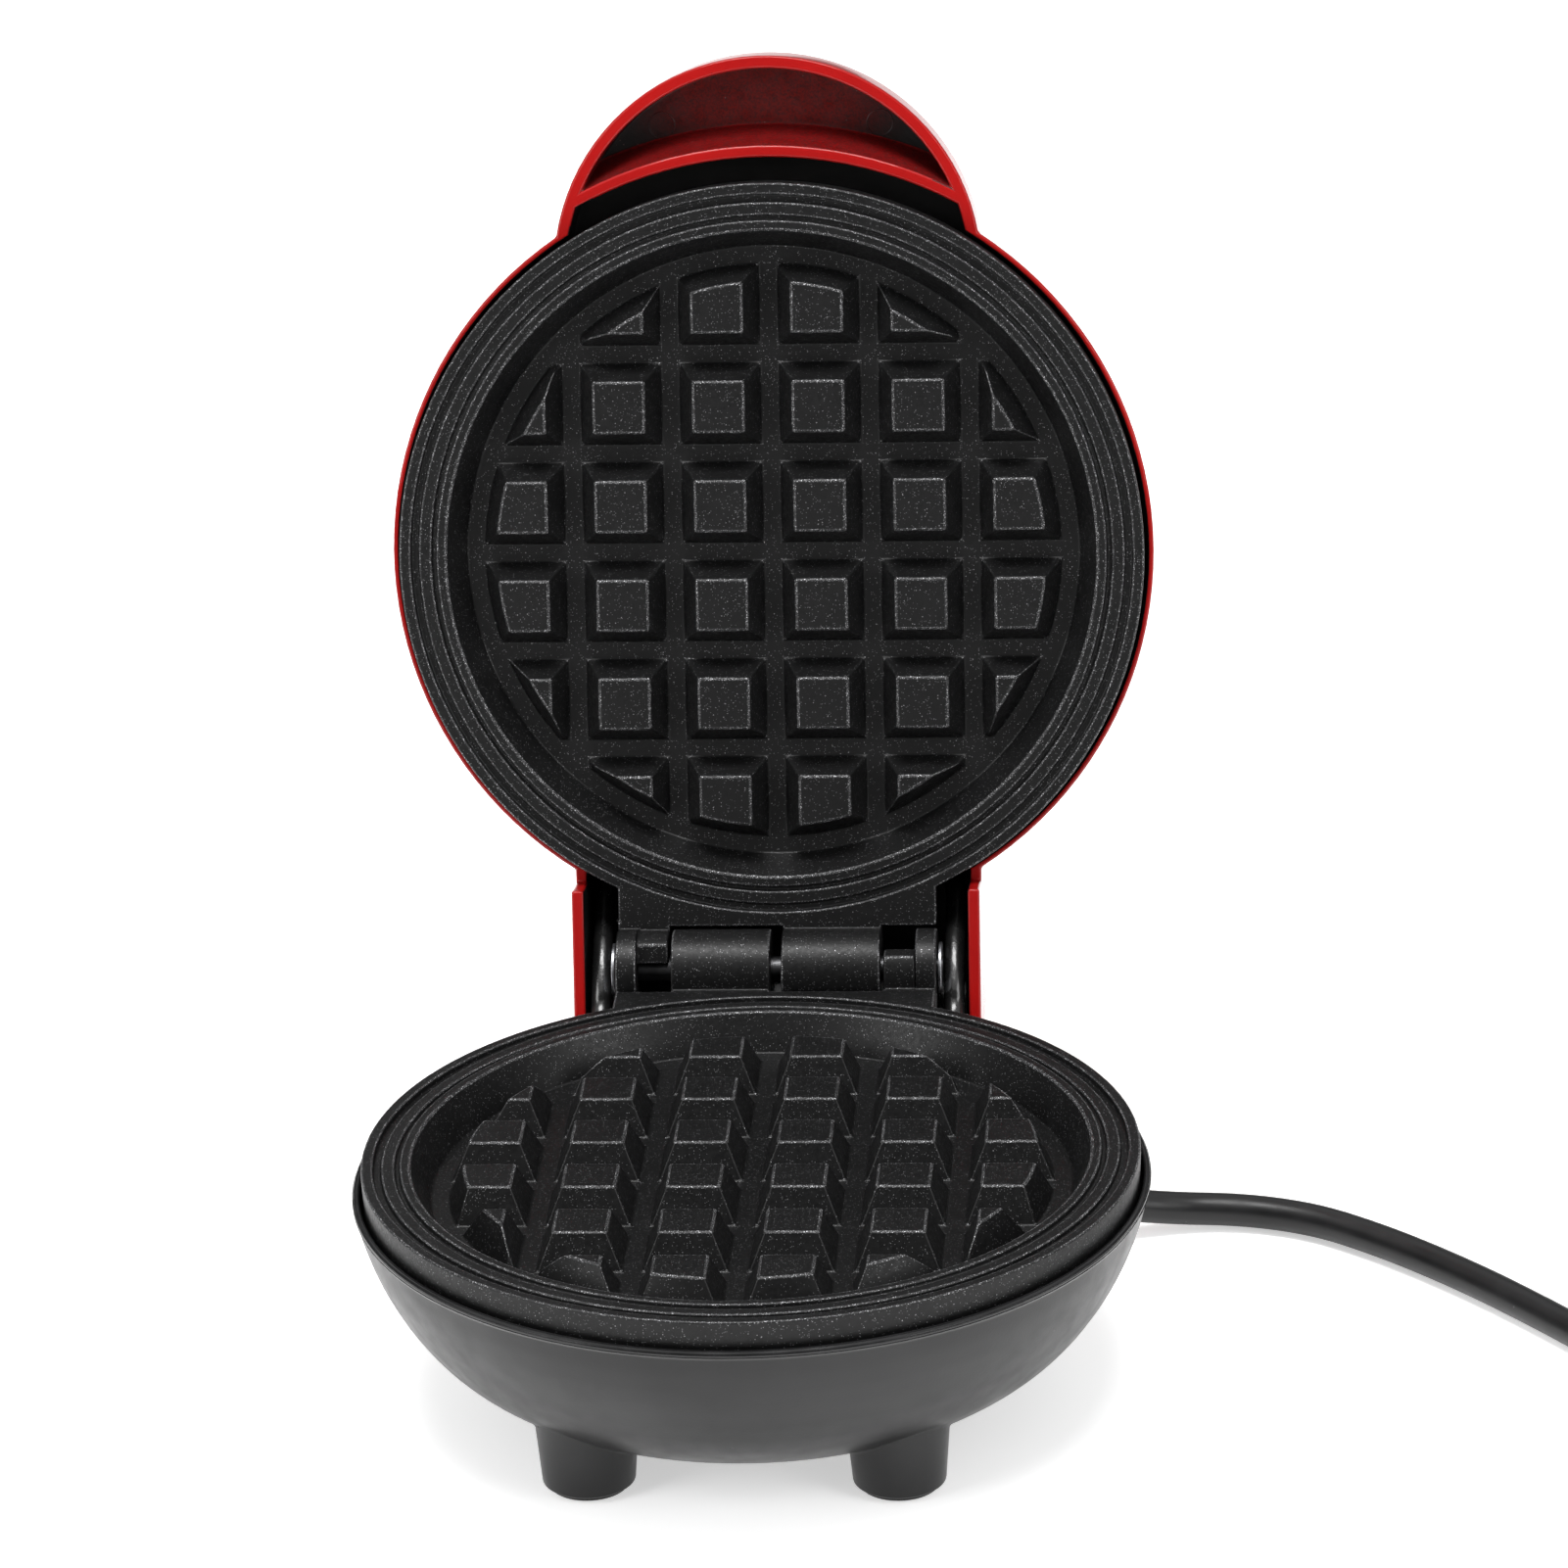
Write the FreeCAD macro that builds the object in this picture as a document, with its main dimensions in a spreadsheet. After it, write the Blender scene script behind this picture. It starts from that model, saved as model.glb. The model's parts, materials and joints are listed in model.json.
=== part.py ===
import FreeCAD, Part
import math
import os
import re
import Sketcher
from FreeCAD import Placement, Rotation, Vector

# A small round waffle maker that stands open.  Millimetres, +Z up, the front faces -Y.
# Every piece is drawn in "bench" coordinates: the base centred on the Z axis, standing on
# z = 0, with the lid closed over it.  At the end the base moves back by base_shift, and the
# lid turns about its hinge to where it rests when open.

doc = FreeCAD.newDocument("waffle_maker")
sheet = doc.addObject("Spreadsheet::Sheet", "Dimensions")

DIMENSIONS = {
    # where the closed halves are
    "base_shift": -29.69,
    "plate_level": 41.0,
    "hinge_y": 69.3,
    "hinge_rise": 1.0,
    "open_angle": 102.7,
    # cooking plates, measured from the plate's own top face and centre
    "plate_radius": 61.8,
    "rim_inner": 59.9,
    "band_outer": 58.6,
    "band_inner": 56.45,
    "dam_outer": 55.65,
    "dam_inner": 54.0,
    "cavity_floor": 51.0,
    "cavity_depth": 6.3,
    "casting": 2.5,
    "skirt_depth": 7.0,
    "pyramid_pitch": 16.52,
    "pyramid_base": 13.45,
    "pyramid_top": 8.5,
    "pyramid_drop": 0.45,
    "pyramid_reach": 48.0,
    "boss_circle": 44.0,
    "boss_radius": 3.6,
    "boss_depth": 16.0,
    # hinge
    "knuckle_radius": 6.6,
    "barrel_near": 0.95,
    "barrel_far": 17.4,
    "ear_near": 23.2,
    "ear_far": 26.7,
    "stop_near": 18.0,
    "tab_half": 26.6,
    "tab_end": 62.3,
    "tab_thick": 4.0,
    "pin_radius": 2.0,
    "pin_half": 27.6,
    "pin_clearance": 0.05,
    # base shell
    "shell_radius": 63.1,
    "shell_wall": 2.2,
    "shell_gap": 4.3,
    "bowl_bottom": 5.0,
    "bowl_flat": 31.0,
    "bowl_corner": 30.0,
    "bowl_turn": 55.0,
    "bowl_side": 44.2,
    "foot_x": 24.3,
    "front_foot_y": -35.0,
    "rear_foot_y": 46.0,
    "foot_radius": 7.3,
    "foot_flare": 8.7,
    "pad_radius": 6.2,
    "pad_thick": 1.8,
    "trough_radius": 10.0,
    "trough_half": 31.4,
    "stop_face": 63.2,
    # lid shell
    "lid_radius": 63.3,
    "lid_wall": 2.0,
    "lid_top": 72.0,
    "lid_flat": 38.0,
    "lid_corner": 25.3,
    "handle_y": -46.9,
    "handle_radius": 35.4,
    "handle_top": 59.5,
    "handle_wall": 2.1,
    "recess_depth": 9.0,
    "hood_half": 34.0,
    "hood_back": 82.3,
    "hood_bottom": 39.0,
    "hood_wall": 2.0,
    # heaters and wiring
    "heater_circle": 33.0,
    "heater_radius": 3.2,
    "heater_bed": 0.9,
    "sheath_leg": 3.4,
    "terminal_reach": 10.5,
    "terminal_radius": 1.2,
    "seal_thick": 1.1,
    "shield_radius": 51.0,
    "shield_thick": 0.8,
    "screw_radius": 1.4,
    "screw_play": 0.2,
    "head_height": 1.6,
    "sleeve_x": 29.5,
    "sleeve_radius": 1.7,
    "wire_radius": 1.1,
    # mains cord
    "cord_radius": 2.75,
    "coil_radius": 30.5,
    "coil_width": 11.4,
    "coil_height": 11.1,
}
for row, (alias, number) in enumerate(DIMENSIONS.items(), start=1):
    sheet.set("A%d" % row, alias)
    sheet.set("B%d" % row, str(number))
    sheet.setAlias("B%d" % row, alias)
doc.recompute()

ALIAS = re.compile(r"\b(" + "|".join(DIMENSIONS) + r")\b")


def value(expression):
    """The number that an expression over the sheet's aliases stands for."""
    result = sheet.evalExpression(str(expression))
    return float(getattr(result, "Value", result))


def bind(item, prop, expression):
    """Tie a property to the sheet, or just set it when there is nothing to tie it to."""
    text = str(expression)
    if ALIAS.search(text):
        item.setExpression(prop, ALIAS.sub(r"Dimensions.\1", text))
    else:
        setattr(item, prop, value(text))


def primitive(kind, name, at=(0, 0, 0), turn=None, **sizes):
    """A Part primitive whose sizes and position follow the sheet."""
    item = doc.addObject("Part::" + kind, name)
    for prop, expression in sizes.items():
        bind(item, prop, expression)
    item.Placement = Placement(Vector(*[value(v) for v in at]), turn or Rotation())
    for axis, expression in zip("xyz", at):
        if ALIAS.search(str(expression)):
            item.setExpression("Placement.Base." + axis, ALIAS.sub(r"Dimensions.\1", expression))
    return item


def fuse(name, parts):
    item = doc.addObject("Part::MultiFuse", name)
    item.Shapes = parts
    item.Refine = True
    return item


def cut(name, base, tool):
    item = doc.addObject("Part::Cut", name)
    item.Base = base
    item.Tool = tool
    item.Refine = True
    return item


def common(name, base, tool):
    item = doc.addObject("Part::Common", name)
    item.Base = base
    item.Tool = tool
    return item


def group(name, parts):
    """Loose pieces that are one node, such as a set of screws."""
    item = doc.addObject("Part::Compound", name)
    item.Links = parts
    return item


def datum(body, role):
    return next(f for f in body.Origin.OriginFeatures if f.Role == role)


def arc_centre(start, end, radius):
    """Centre of the arc from start to end; a positive radius turns anticlockwise."""
    middle = (start + end) * 0.5
    half = (end - start) * 0.5
    rise = math.sqrt(max(radius * radius - half.Length ** 2, 0.0))
    left = Vector(-half.y, half.x, 0).normalize()
    return middle + left * (rise if radius > 0 else -rise)


def outline(body, name, plane, corners, offset="0"):
    """A closed sketch.  Each corner is (x, y), or (x, y, radius) when an arc leaves it."""
    sketch = body.newObject("Sketcher::SketchObject", name)
    sketch.AttachmentSupport = (datum(body, plane), "")
    sketch.MapMode = "FlatFace"
    sketch.AttachmentOffset = Placement(Vector(0, 0, value(offset)), Rotation())
    spots = [Vector(value(c[0]), value(c[1]), 0) for c in corners]
    count = len(corners)
    starts, ends = [], []
    for i, corner in enumerate(corners):
        here, there = spots[i], spots[(i + 1) % count]
        if len(corner) == 2:
            sketch.addGeometry(Part.LineSegment(here, there), False)
            starts.append(1)
            ends.append(2)
            continue
        radius = value(corner[2])
        centre = arc_centre(here, there, radius)
        circle = Part.Circle(centre, Vector(0, 0, 1), abs(radius))
        first, last = (here, there) if radius > 0 else (there, here)
        span = [math.atan2(p.y - centre.y, p.x - centre.x) for p in (first, last)]
        sketch.addGeometry(Part.ArcOfCircle(circle, span[0], span[1]), False)
        starts.append(1 if radius > 0 else 2)
        ends.append(2 if radius > 0 else 1)
    for i in range(count):
        following = (i + 1) % count
        sketch.addConstraint(
            Sketcher.Constraint("Coincident", i, ends[i], following, starts[following]))
    for i, corner in enumerate(corners):
        for kind, expression in zip(("DistanceX", "DistanceY"), corner):
            added = sketch.addConstraint(
                Sketcher.Constraint(kind, -1, 1, i, starts[i], value(expression)))
            if ALIAS.search(expression):
                sketch.setExpression(
                    "Constraints[%d]" % added, ALIAS.sub(r"Dimensions.\1", expression))
        if len(corner) == 3:
            added = sketch.addConstraint(
                Sketcher.Constraint("Radius", i, abs(value(corner[2]))))
            if ALIAS.search(corner[2]):
                sketch.setExpression("Constraints[%d]" % added,
                                     "abs(" + ALIAS.sub(r"Dimensions.\1", corner[2]) + ")")
    return sketch


def ring_outline(body, name, plane, centre, radius, offset="0"):
    """A sketch of one circle."""
    sketch = body.newObject("Sketcher::SketchObject", name)
    sketch.AttachmentSupport = (datum(body, plane), "")
    sketch.MapMode = "FlatFace"
    sketch.AttachmentOffset = Placement(Vector(0, 0, value(offset)), Rotation())
    spot = Vector(value(centre[0]), value(centre[1]), 0)
    sketch.addGeometry(Part.Circle(spot, Vector(0, 0, 1), value(radius)), False)
    for kind, expression in zip(("DistanceX", "DistanceY"), centre):
        added = sketch.addConstraint(Sketcher.Constraint(kind, -1, 1, 0, 3, value(expression)))
        if ALIAS.search(expression):
            sketch.setExpression(
                "Constraints[%d]" % added, ALIAS.sub(r"Dimensions.\1", expression))
    added = sketch.addConstraint(Sketcher.Constraint("Radius", 0, value(radius)))
    if ALIAS.search(radius):
        sketch.setExpression("Constraints[%d]" % added, ALIAS.sub(r"Dimensions.\1", radius))
    return sketch


def turned(body, name, corners, subtract=False):
    """Revolve an X-Z outline about the Z axis, to add it or to cut it away."""
    sketch = outline(body, name + "_outline", "XZ_Plane", corners)
    kind = "PartDesign::Groove" if subtract else "PartDesign::Revolution"
    item = body.newObject(kind, name)
    item.Profile = sketch
    item.ReferenceAxis = (datum(body, "Z_Axis"), [""])
    item.Angle = 360
    return item


def prism(body, name, sketch, length, subtract=False, reverse=False, both=False):
    """Pad or pocket a sketch."""
    item = body.newObject("PartDesign::Pocket" if subtract else "PartDesign::Pad", name)
    item.Profile = sketch
    bind(item, "Length", length)
    item.Reversed = reverse
    item.Midplane = both
    return item


def new_body(name):
    return doc.addObject("PartDesign::Body", name)


def around(count, radius, start=90.0):
    """Points evenly spaced on a circle."""
    step = 360.0 / count
    return [(radius * math.cos(math.radians(start + step * i)),
             radius * math.sin(math.radians(start + step * i))) for i in range(count)]


def rounded_path(points, bends=None):
    """Straight runs joined by tangent arcs, each arc as large as its two runs allow."""
    spots = [Vector(*p) for p in points]
    edges = []
    radii = []
    here = spots[0]
    for i in range(1, len(spots) - 1):
        back = spots[i - 1] - spots[i]
        ahead = spots[i + 1] - spots[i]
        turn = math.pi - back.getAngle(ahead)
        trim = 0.45 * min(back.Length, ahead.Length)
        radius = trim / math.tan(turn / 2)
        if bends and radius > bends:
            radius = bends
            trim = radius * math.tan(turn / 2)
        back.normalize()
        ahead.normalize()
        enter = spots[i] + back * trim
        leave = spots[i] + ahead * trim
        inward = (back + ahead).normalize()
        middle = spots[i] + inward * (radius / math.cos(turn / 2) - radius)
        edges.append(Part.LineSegment(here, enter).toShape())
        edges.append(Part.Arc(enter, middle, leave).toShape())
        radii.append(radius)
        here = leave
    edges.append(Part.LineSegment(here, spots[-1]).toShape())
    return Part.Wire(edges), radii


def tube_shape(points, radius, bends=None):
    """A round bar swept along straight runs and tangent arcs."""
    path, radii = rounded_path(points, bends)
    start = Vector(*points[0])
    heading = Vector(*points[1]) - start
    section = Part.Wire([Part.Circle(start, heading, radius).toShape()])
    return path.makePipeShell([section], True, False), path, radii


def feature(name, shape):
    """A piece that sketches and primitives don't fit."""
    item = doc.addObject("Part::Feature", name)
    item.Shape = shape
    return item


ALONG_X = Rotation(Vector(0, 1, 0), 90)
# a heater's ring lies in a groove under its plate and turns down at these two angles
LEG_ANGLES = (70, 110)
HEATER_LEVEL = "-cavity_depth - casting - heater_radius + heater_bed"
nodes = {"base": [], "lid": []}
placed = {}


def leg_spot(angle):
    """Expressions for the place where a heater's end turns down."""
    return "heater_circle * cos(%d deg)" % angle, "heater_circle * sin(%d deg)" % angle


def keep(side, name, item, local=None):
    """Name a finished piece and note which half of the appliance carries it."""
    if item.ExpressionEngine:
        item.Label = name + "_form"
        item = group(name, [item])
    item.Label = name
    nodes[side].append(item)
    placed[item.Name] = local or Placement()
    return item


# ---------------------------------------------------------------- cooking plates
# Both plates are one casting.  The upper one is turned over, face to face with the lower.

def waffle_plate(name):
    body = new_body(name + "_casting")
    turned(body, name + "_section", [
        ("0", "-cavity_depth"),
        ("cavity_floor", "-cavity_depth"),
        ("dam_inner", "0"),
        ("dam_outer", "0"),
        ("dam_outer", "-0.9"),
        ("band_inner", "-0.9"),
        ("band_inner", "-0.25"),
        ("band_outer", "-0.25"),
        ("band_outer", "-1.1"),
        ("rim_inner", "-1.1"),
        ("rim_inner", "0"),
        ("plate_radius", "0"),
        ("plate_radius - 0.2", "-skirt_depth"),
        ("plate_radius - 2.4", "-skirt_depth"),
        ("plate_radius - 2.4", "-casting - 0.4"),
        ("dam_outer + 0.6", "-casting - 0.4"),
        ("cavity_floor + 2.3", "-cavity_depth - casting"),
        ("0", "-cavity_depth - casting"),
    ])
    # hinge tab, flush with the rim
    inner = "sqrt((plate_radius - 0.9)^2 - tab_half^2)"
    tab = outline(body, name + "_tab_outline", "XY_Plane", [
        ("-tab_half", inner),
        ("-tab_half", "tab_end"),
        ("tab_half", "tab_end"),
        ("tab_half", inner, "plate_radius - 0.9"),
    ])
    prism(body, name + "_tab", tab, "tab_thick - 0.8", reverse=True)
    # bridges from the tab out to this plate's own knuckles
    for side, near, far in (("barrel", "-barrel_far", "-barrel_near"),
                            ("ear", "stop_near", "ear_far")):
        bridge = outline(body, name + "_" + side + "_bridge_outline", "XY_Plane", [
            (near, "tab_end - 1.0"),
            (far, "tab_end - 1.0"),
            (far, "hinge_y - 3.5"),
            (near, "hinge_y - 3.5"),
        ])
        prism(body, name + "_" + side + "_bridge", bridge, "tab_thick", reverse=True)
    # the knuckles: a wide barrel left of centre, a narrow ear at the far right
    axis = ("hinge_y", "hinge_rise")
    for side, near, width in (("barrel", "-barrel_far", "barrel_far - barrel_near"),
                              ("ear", "ear_near", "ear_far - ear_near")):
        disc = ring_outline(body, name + "_" + side + "_disc", "YZ_Plane", axis,
                            "knuckle_radius", offset=near)
        prism(body, name + "_" + side, disc, width)
    # stop block between ear and barrel, rounded to clear the other plate's tab
    stop = outline(body, name + "_stop_outline", "YZ_Plane", [
        ("hinge_y - 4.0", "-tab_thick"),
        ("hinge_y - 1.7", "-tab_thick"),
        ("hinge_y - 1.7", "hinge_rise + 4.2"),
        ("hinge_y - 4.83", "hinge_rise + 4.2", "knuckle_radius - 0.2"),
    ], offset="stop_near")
    prism(body, name + "_stop", stop, "ear_far - stop_near")
    bore = ring_outline(body, name + "_bore_disc", "YZ_Plane", axis,
                        "pin_radius + pin_clearance")
    prism(body, name + "_bore", bore, "80", subtract=True, both=True)
    # underside: three screw bosses and the groove that the heater lies in
    for i, (x, y) in enumerate(around(3, value("boss_circle"))):
        boss = ring_outline(body, "%s_boss_disc%d" % (name, i), "XY_Plane",
                            (repr(x), repr(y)), "boss_radius",
                            offset="-cavity_depth - casting + 0.2")
        prism(body, "%s_boss%d" % (name, i), boss,
              "boss_depth - cavity_depth - casting + 0.2", reverse=True)
        hole = ring_outline(body, "%s_hole_disc%d" % (name, i), "XY_Plane",
                            (repr(x), repr(y)), "screw_radius + 0.05",
                            offset="-boss_depth")
        prism(body, "%s_hole%d" % (name, i), hole, "6.5", subtract=True, reverse=True)
    seat = primitive("Torus", name + "_heater_seat",
                     at=("0", "0", HEATER_LEVEL),
                     Radius1="heater_circle", Radius2="heater_radius")
    grooved = cut(name + "_grooved", body, seat)
    # thirty-two pyramids, cut round to stand clear of the cavity wall
    pyramids = []
    slope = "(pyramid_base - pyramid_top) / 2 / (cavity_depth - pyramid_drop)"
    foot = "pyramid_base / 2 + 0.3 * " + slope
    for column in range(6):
        for row in range(6):
            x = "pyramid_pitch * %.1f" % (column - 2.5)
            y = "pyramid_pitch * %.1f" % (row - 2.5)
            if math.hypot(value(x), value(y)) > value("pyramid_reach") + 2:
                continue
            pyramids.append(primitive(
                "Wedge", "%s_pyramid_%d_%d" % (name, column, row),
                at=(x, y, "0"), turn=Rotation(Vector(1, 0, 0), 90),
                Xmin="-(" + foot + ")", Xmax=foot, Zmin="-(" + foot + ")", Zmax=foot,
                X2min="-pyramid_top / 2", X2max="pyramid_top / 2",
                Z2min="-pyramid_top / 2", Z2max="pyramid_top / 2",
                Ymin="-cavity_depth - 0.3", Ymax="-pyramid_drop"))
    bounds = primitive("Cone", name + "_pyramid_bounds", at=("0", "0", "-cavity_depth - 0.3"),
                       Radius1="pyramid_reach + 0.3 * " + slope,
                       Radius2="pyramid_reach - (pyramid_base - pyramid_top) / 2",
                       Height="cavity_depth - pyramid_drop + 0.3")
    field = common(name + "_pyramid_field", group(name + "_pyramids", pyramids), bounds)
    return fuse(name, [grooved, field])


on_base = Placement(Vector(0, 0, value("plate_level")), Rotation())
on_lid = Placement(Vector(0, 0, value("plate_level + 2 * hinge_rise")),
                   Rotation(Vector(0, 1, 0), 180))
keep("base", "lower_plate", waffle_plate("lower_plate"), on_base)
keep("lid", "upper_plate", waffle_plate("upper_plate"), on_lid)

# ---------------------------------------------------------------- heaters under the plates
# A sheathed ring with a gap at the back, where its two ends turn down into terminals.

def heater(name):
    first, last = LEG_ANGLES
    parts = [primitive("Torus", name + "_ring", at=("0", "0", HEATER_LEVEL),
                       turn=Rotation(Vector(0, 0, 1), last),
                       Radius1="heater_circle", Radius2="heater_radius",
                       Angle3=360 - (last - first))]
    for i, angle in enumerate(LEG_ANGLES):
        x, y = leg_spot(angle)
        parts.append(primitive("Sphere", "%s_bend%d" % (name, i), at=(x, y, HEATER_LEVEL),
                               Radius="heater_radius"))
        parts.append(primitive("Cylinder", "%s_leg%d" % (name, i),
                               at=(x, y, HEATER_LEVEL + " - sheath_leg"),
                               Radius="heater_radius", Height="sheath_leg"))
        parts.append(primitive("Cylinder", "%s_terminal%d" % (name, i),
                               at=(x, y, HEATER_LEVEL + " - terminal_reach"),
                               Radius="terminal_radius", Height="8"))
    return fuse(name, parts)


keep("base", "lower_heater", heater("lower_heater"), on_base)
keep("lid", "upper_heater", heater("upper_heater"), on_lid)


def heater_seals(name):
    """Ceramic beads that close the sheath's ends."""
    level = HEATER_LEVEL + " - sheath_leg - seal_thick"
    beads = []
    for i, angle in enumerate(LEG_ANGLES):
        x, y = leg_spot(angle)
        bead = primitive("Cylinder", "%s_bead%d" % (name, i), at=(x, y, level),
                         Radius="heater_radius - 0.5", Height="seal_thick")
        core = primitive("Cylinder", "%s_core%d" % (name, i), at=(x, y, level + " - 1"),
                         Radius="terminal_radius", Height="4")
        beads.append(cut("%s_sealed%d" % (name, i), bead, core))
    return group(name, beads)


keep("base", "lower_heater_seals", heater_seals("lower_heater_seals"), on_base)
keep("lid", "upper_heater_seals", heater_seals("upper_heater_seals"), on_lid)


def heat_shield(name):
    """A thin dished sheet held between the plate's bosses and the shell's posts."""
    body = new_body(name + "_dish")
    turned(body, name + "_section", [
        ("0", "-boss_depth - shield_thick"),
        ("shield_radius - 2", "-boss_depth - shield_thick"),
        ("shield_radius", "-boss_depth + 4"),
        ("shield_radius - shield_thick", "-boss_depth + 4"),
        ("shield_radius - 2 - shield_thick / 2", "-boss_depth"),
        ("0", "-boss_depth"),
    ])
    holes = []
    for i, (x, y) in enumerate(around(3, value("boss_circle"))):
        holes.append(primitive("Cylinder", "%s_screw_hole%d" % (name, i),
                               at=(x, y, "-boss_depth - 2"),
                               Radius="screw_radius + screw_play", Height="4"))
    for i, angle in enumerate(LEG_ANGLES):
        holes.append(primitive("Cylinder", "%s_terminal_hole%d" % (name, i),
                               at=leg_spot(angle) + ("-boss_depth - 2",),
                               Radius="3.4", Height="4"))
    holes.append(primitive("Cylinder", name + "_centre_hole", at=("0", "0", "-boss_depth - 2"),
                           Radius="7.5", Height="4"))
    return cut(name, body, fuse(name + "_holes", holes))


keep("base", "lower_heat_shield", heat_shield("lower_heat_shield"), on_base)
keep("lid", "upper_heat_shield", heat_shield("upper_heat_shield"), on_lid)

# ---------------------------------------------------------------- base shell
rim = "plate_level - shell_gap"
bowl_turn_x = "bowl_flat + {0} * sin(bowl_turn * 1 deg)"
bowl_turn_z = "bowl_bottom + bowl_corner - {0} * cos(bowl_turn * 1 deg)"
bowl = new_body("bowl_outside")
turned(bowl, "bowl_outside_section", [
    ("0", "bowl_bottom"),
    ("bowl_flat", "bowl_bottom", "bowl_corner"),
    (bowl_turn_x.format("bowl_corner"), bowl_turn_z.format("bowl_corner"), "bowl_side"),
    ("shell_radius", rim + " - 1.3"),
    ("shell_radius + 0.3", rim + " - 1.0"),
    ("shell_radius + 0.3", rim + " - 0.3"),
    ("shell_radius", rim),
    ("0", rim),
])
hollow = new_body("bowl_inside")
turned(hollow, "bowl_inside_section", [
    ("0", "bowl_bottom + shell_wall"),
    ("bowl_flat", "bowl_bottom + shell_wall", "bowl_corner - shell_wall"),
    (bowl_turn_x.format("(bowl_corner - shell_wall)"),
     bowl_turn_z.format("(bowl_corner - shell_wall)"), "bowl_side - shell_wall"),
    ("shell_radius - 0.9", rim + " - 3.0"),
    ("shell_radius - 0.9", rim + " + 1"),
    ("0", rim + " + 1"),
])

FEET = [(sign + "foot_x", depth) for sign in ("", "-")
        for depth in ("front_foot_y", "rear_foot_y")]
feet = [primitive("Cone", "foot%d" % i, at=(x, y, "0.8"), Radius1="foot_radius",
                  Radius2="foot_flare", Height="17.2") for i, (x, y) in enumerate(FEET)]
foot_seats = [primitive("Cylinder", "foot_seat%d" % i, at=(x, y, "0"),
                        Radius="pad_radius + 0.05", Height="pad_thick")
              for i, (x, y) in enumerate(FEET)]
foot_limit = primitive("Cylinder", "foot_limit", Radius="shell_radius - 3.5", Height="18")
trimmed_feet = common("trimmed_feet", fuse("feet", feet), foot_limit)

# half-round trough that closes the back under the hinge knuckles
trough = primitive("Cylinder", "trough_outside",
                   at=("-trough_half", "hinge_y", "plate_level + hinge_rise"), turn=ALONG_X,
                   Radius="trough_radius", Height="2 * trough_half")
# solid web between bowl and trough; its back face is the open lid's stop
stop_web = primitive("Box", "stop_web", at=("-trough_half", "46", "28"),
                     Length="2 * trough_half", Width="stop_face - 46", Height=rim + " - 28")
above_rim = primitive("Box", "above_rim", at=("-50", "-70", rim),
                      Length="100", Width="160", Height="20")
trough_hollow = primitive("Cylinder", "trough_inside",
                          at=("-trough_half - 1", "hinge_y", "plate_level + hinge_rise"),
                          turn=ALONG_X, Radius="trough_radius - 1.8",
                          Height="2 * trough_half + 2")
wire_ports = [primitive("Box", "wire_port%d" % i, at=(x, "48", "27.4"),
                        Length="5.2", Width="18.5", Height="10")
              for i, x in enumerate(("sleeve_x - 2.3", "-sleeve_x - 2.9"))]

# the cord's gland points out at the right rear, a little downwards
GLAND = Vector(33.0, 42.0, 12.5)
HEADING = Vector(0.86, 0.44, -0.25).normalize()
facing = Rotation(Vector(0, 0, 1), HEADING)


def along_gland(distance):
    return GLAND + HEADING * distance


def gland_part(kind, name, start, **sizes):
    return primitive(kind, name, at=tuple(along_gland(start)), turn=facing, **sizes)


gland_boss = gland_part("Cylinder", "gland_boss", -6, Radius="6.4", Height="9")
gland_seat = gland_part("Cylinder", "gland_seat", -9, Radius="6.4", Height="9")
gland_bore = gland_part("Cylinder", "gland_bore", -20, Radius="4.6", Height="40")

posts = [primitive("Cylinder", "post%d" % i, at=(x, y, "bowl_bottom"), Radius="4.2",
                   Height="plate_level - boss_depth - shield_thick - bowl_bottom")
         for i, (x, y) in enumerate(around(3, value("boss_circle")))]
CLAMP = Vector(12.6, 31.4, 16.75)
CLAMP_ALONG = Vector(-0.468, 0.884, 0)
CLAMP_SPOTS = [(CLAMP.x + CLAMP_ALONG.x * reach, CLAMP.y + CLAMP_ALONG.y * reach)
               for reach in (-5.4, 5.4)]
clamp_posts = [primitive("Cylinder", "clamp_post%d" % i, at=(x, y, "bowl_bottom"),
                         Radius="2.3", Height="%.2f - bowl_bottom" % CLAMP.z)
               for i, (x, y) in enumerate(CLAMP_SPOTS)]
block_rest = primitive("Box", "block_rest", at=("-14", "6", "bowl_bottom"),
                       Length="22", Width="14", Height="4.2")
bowl_space = cut("bowl_space", hollow,
                 fuse("bowl_posts", posts + clamp_posts + [block_rest, gland_seat]))
post_holes = []
for i, (x, y) in enumerate(around(3, value("boss_circle"))):
    post_holes.append(primitive("Cylinder", "post_hole%d" % i, at=(x, y, "0"),
                                Radius="screw_radius + screw_play", Height="30"))
    post_holes.append(primitive("Cylinder", "post_counterbore%d" % i, at=(x, y, "0"),
                                Radius="2.9", Height="14"))
solid_base = fuse("solid_base", [
    bowl, trimmed_feet, cut("trough_half_round", trough, above_rim), stop_web, gland_boss])
keep("base", "base_shell", cut("base_shell", solid_base, fuse("base_voids", [
    bowl_space, trough_hollow, gland_bore] + wire_ports + foot_seats + post_holes)))
keep("base", "foot_pads", group("foot_pads", [
    primitive("Cylinder", "foot_pad%d" % i, at=(x, y, "0"), Radius="pad_radius",
              Height="pad_thick") for i, (x, y) in enumerate(FEET)]))

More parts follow.
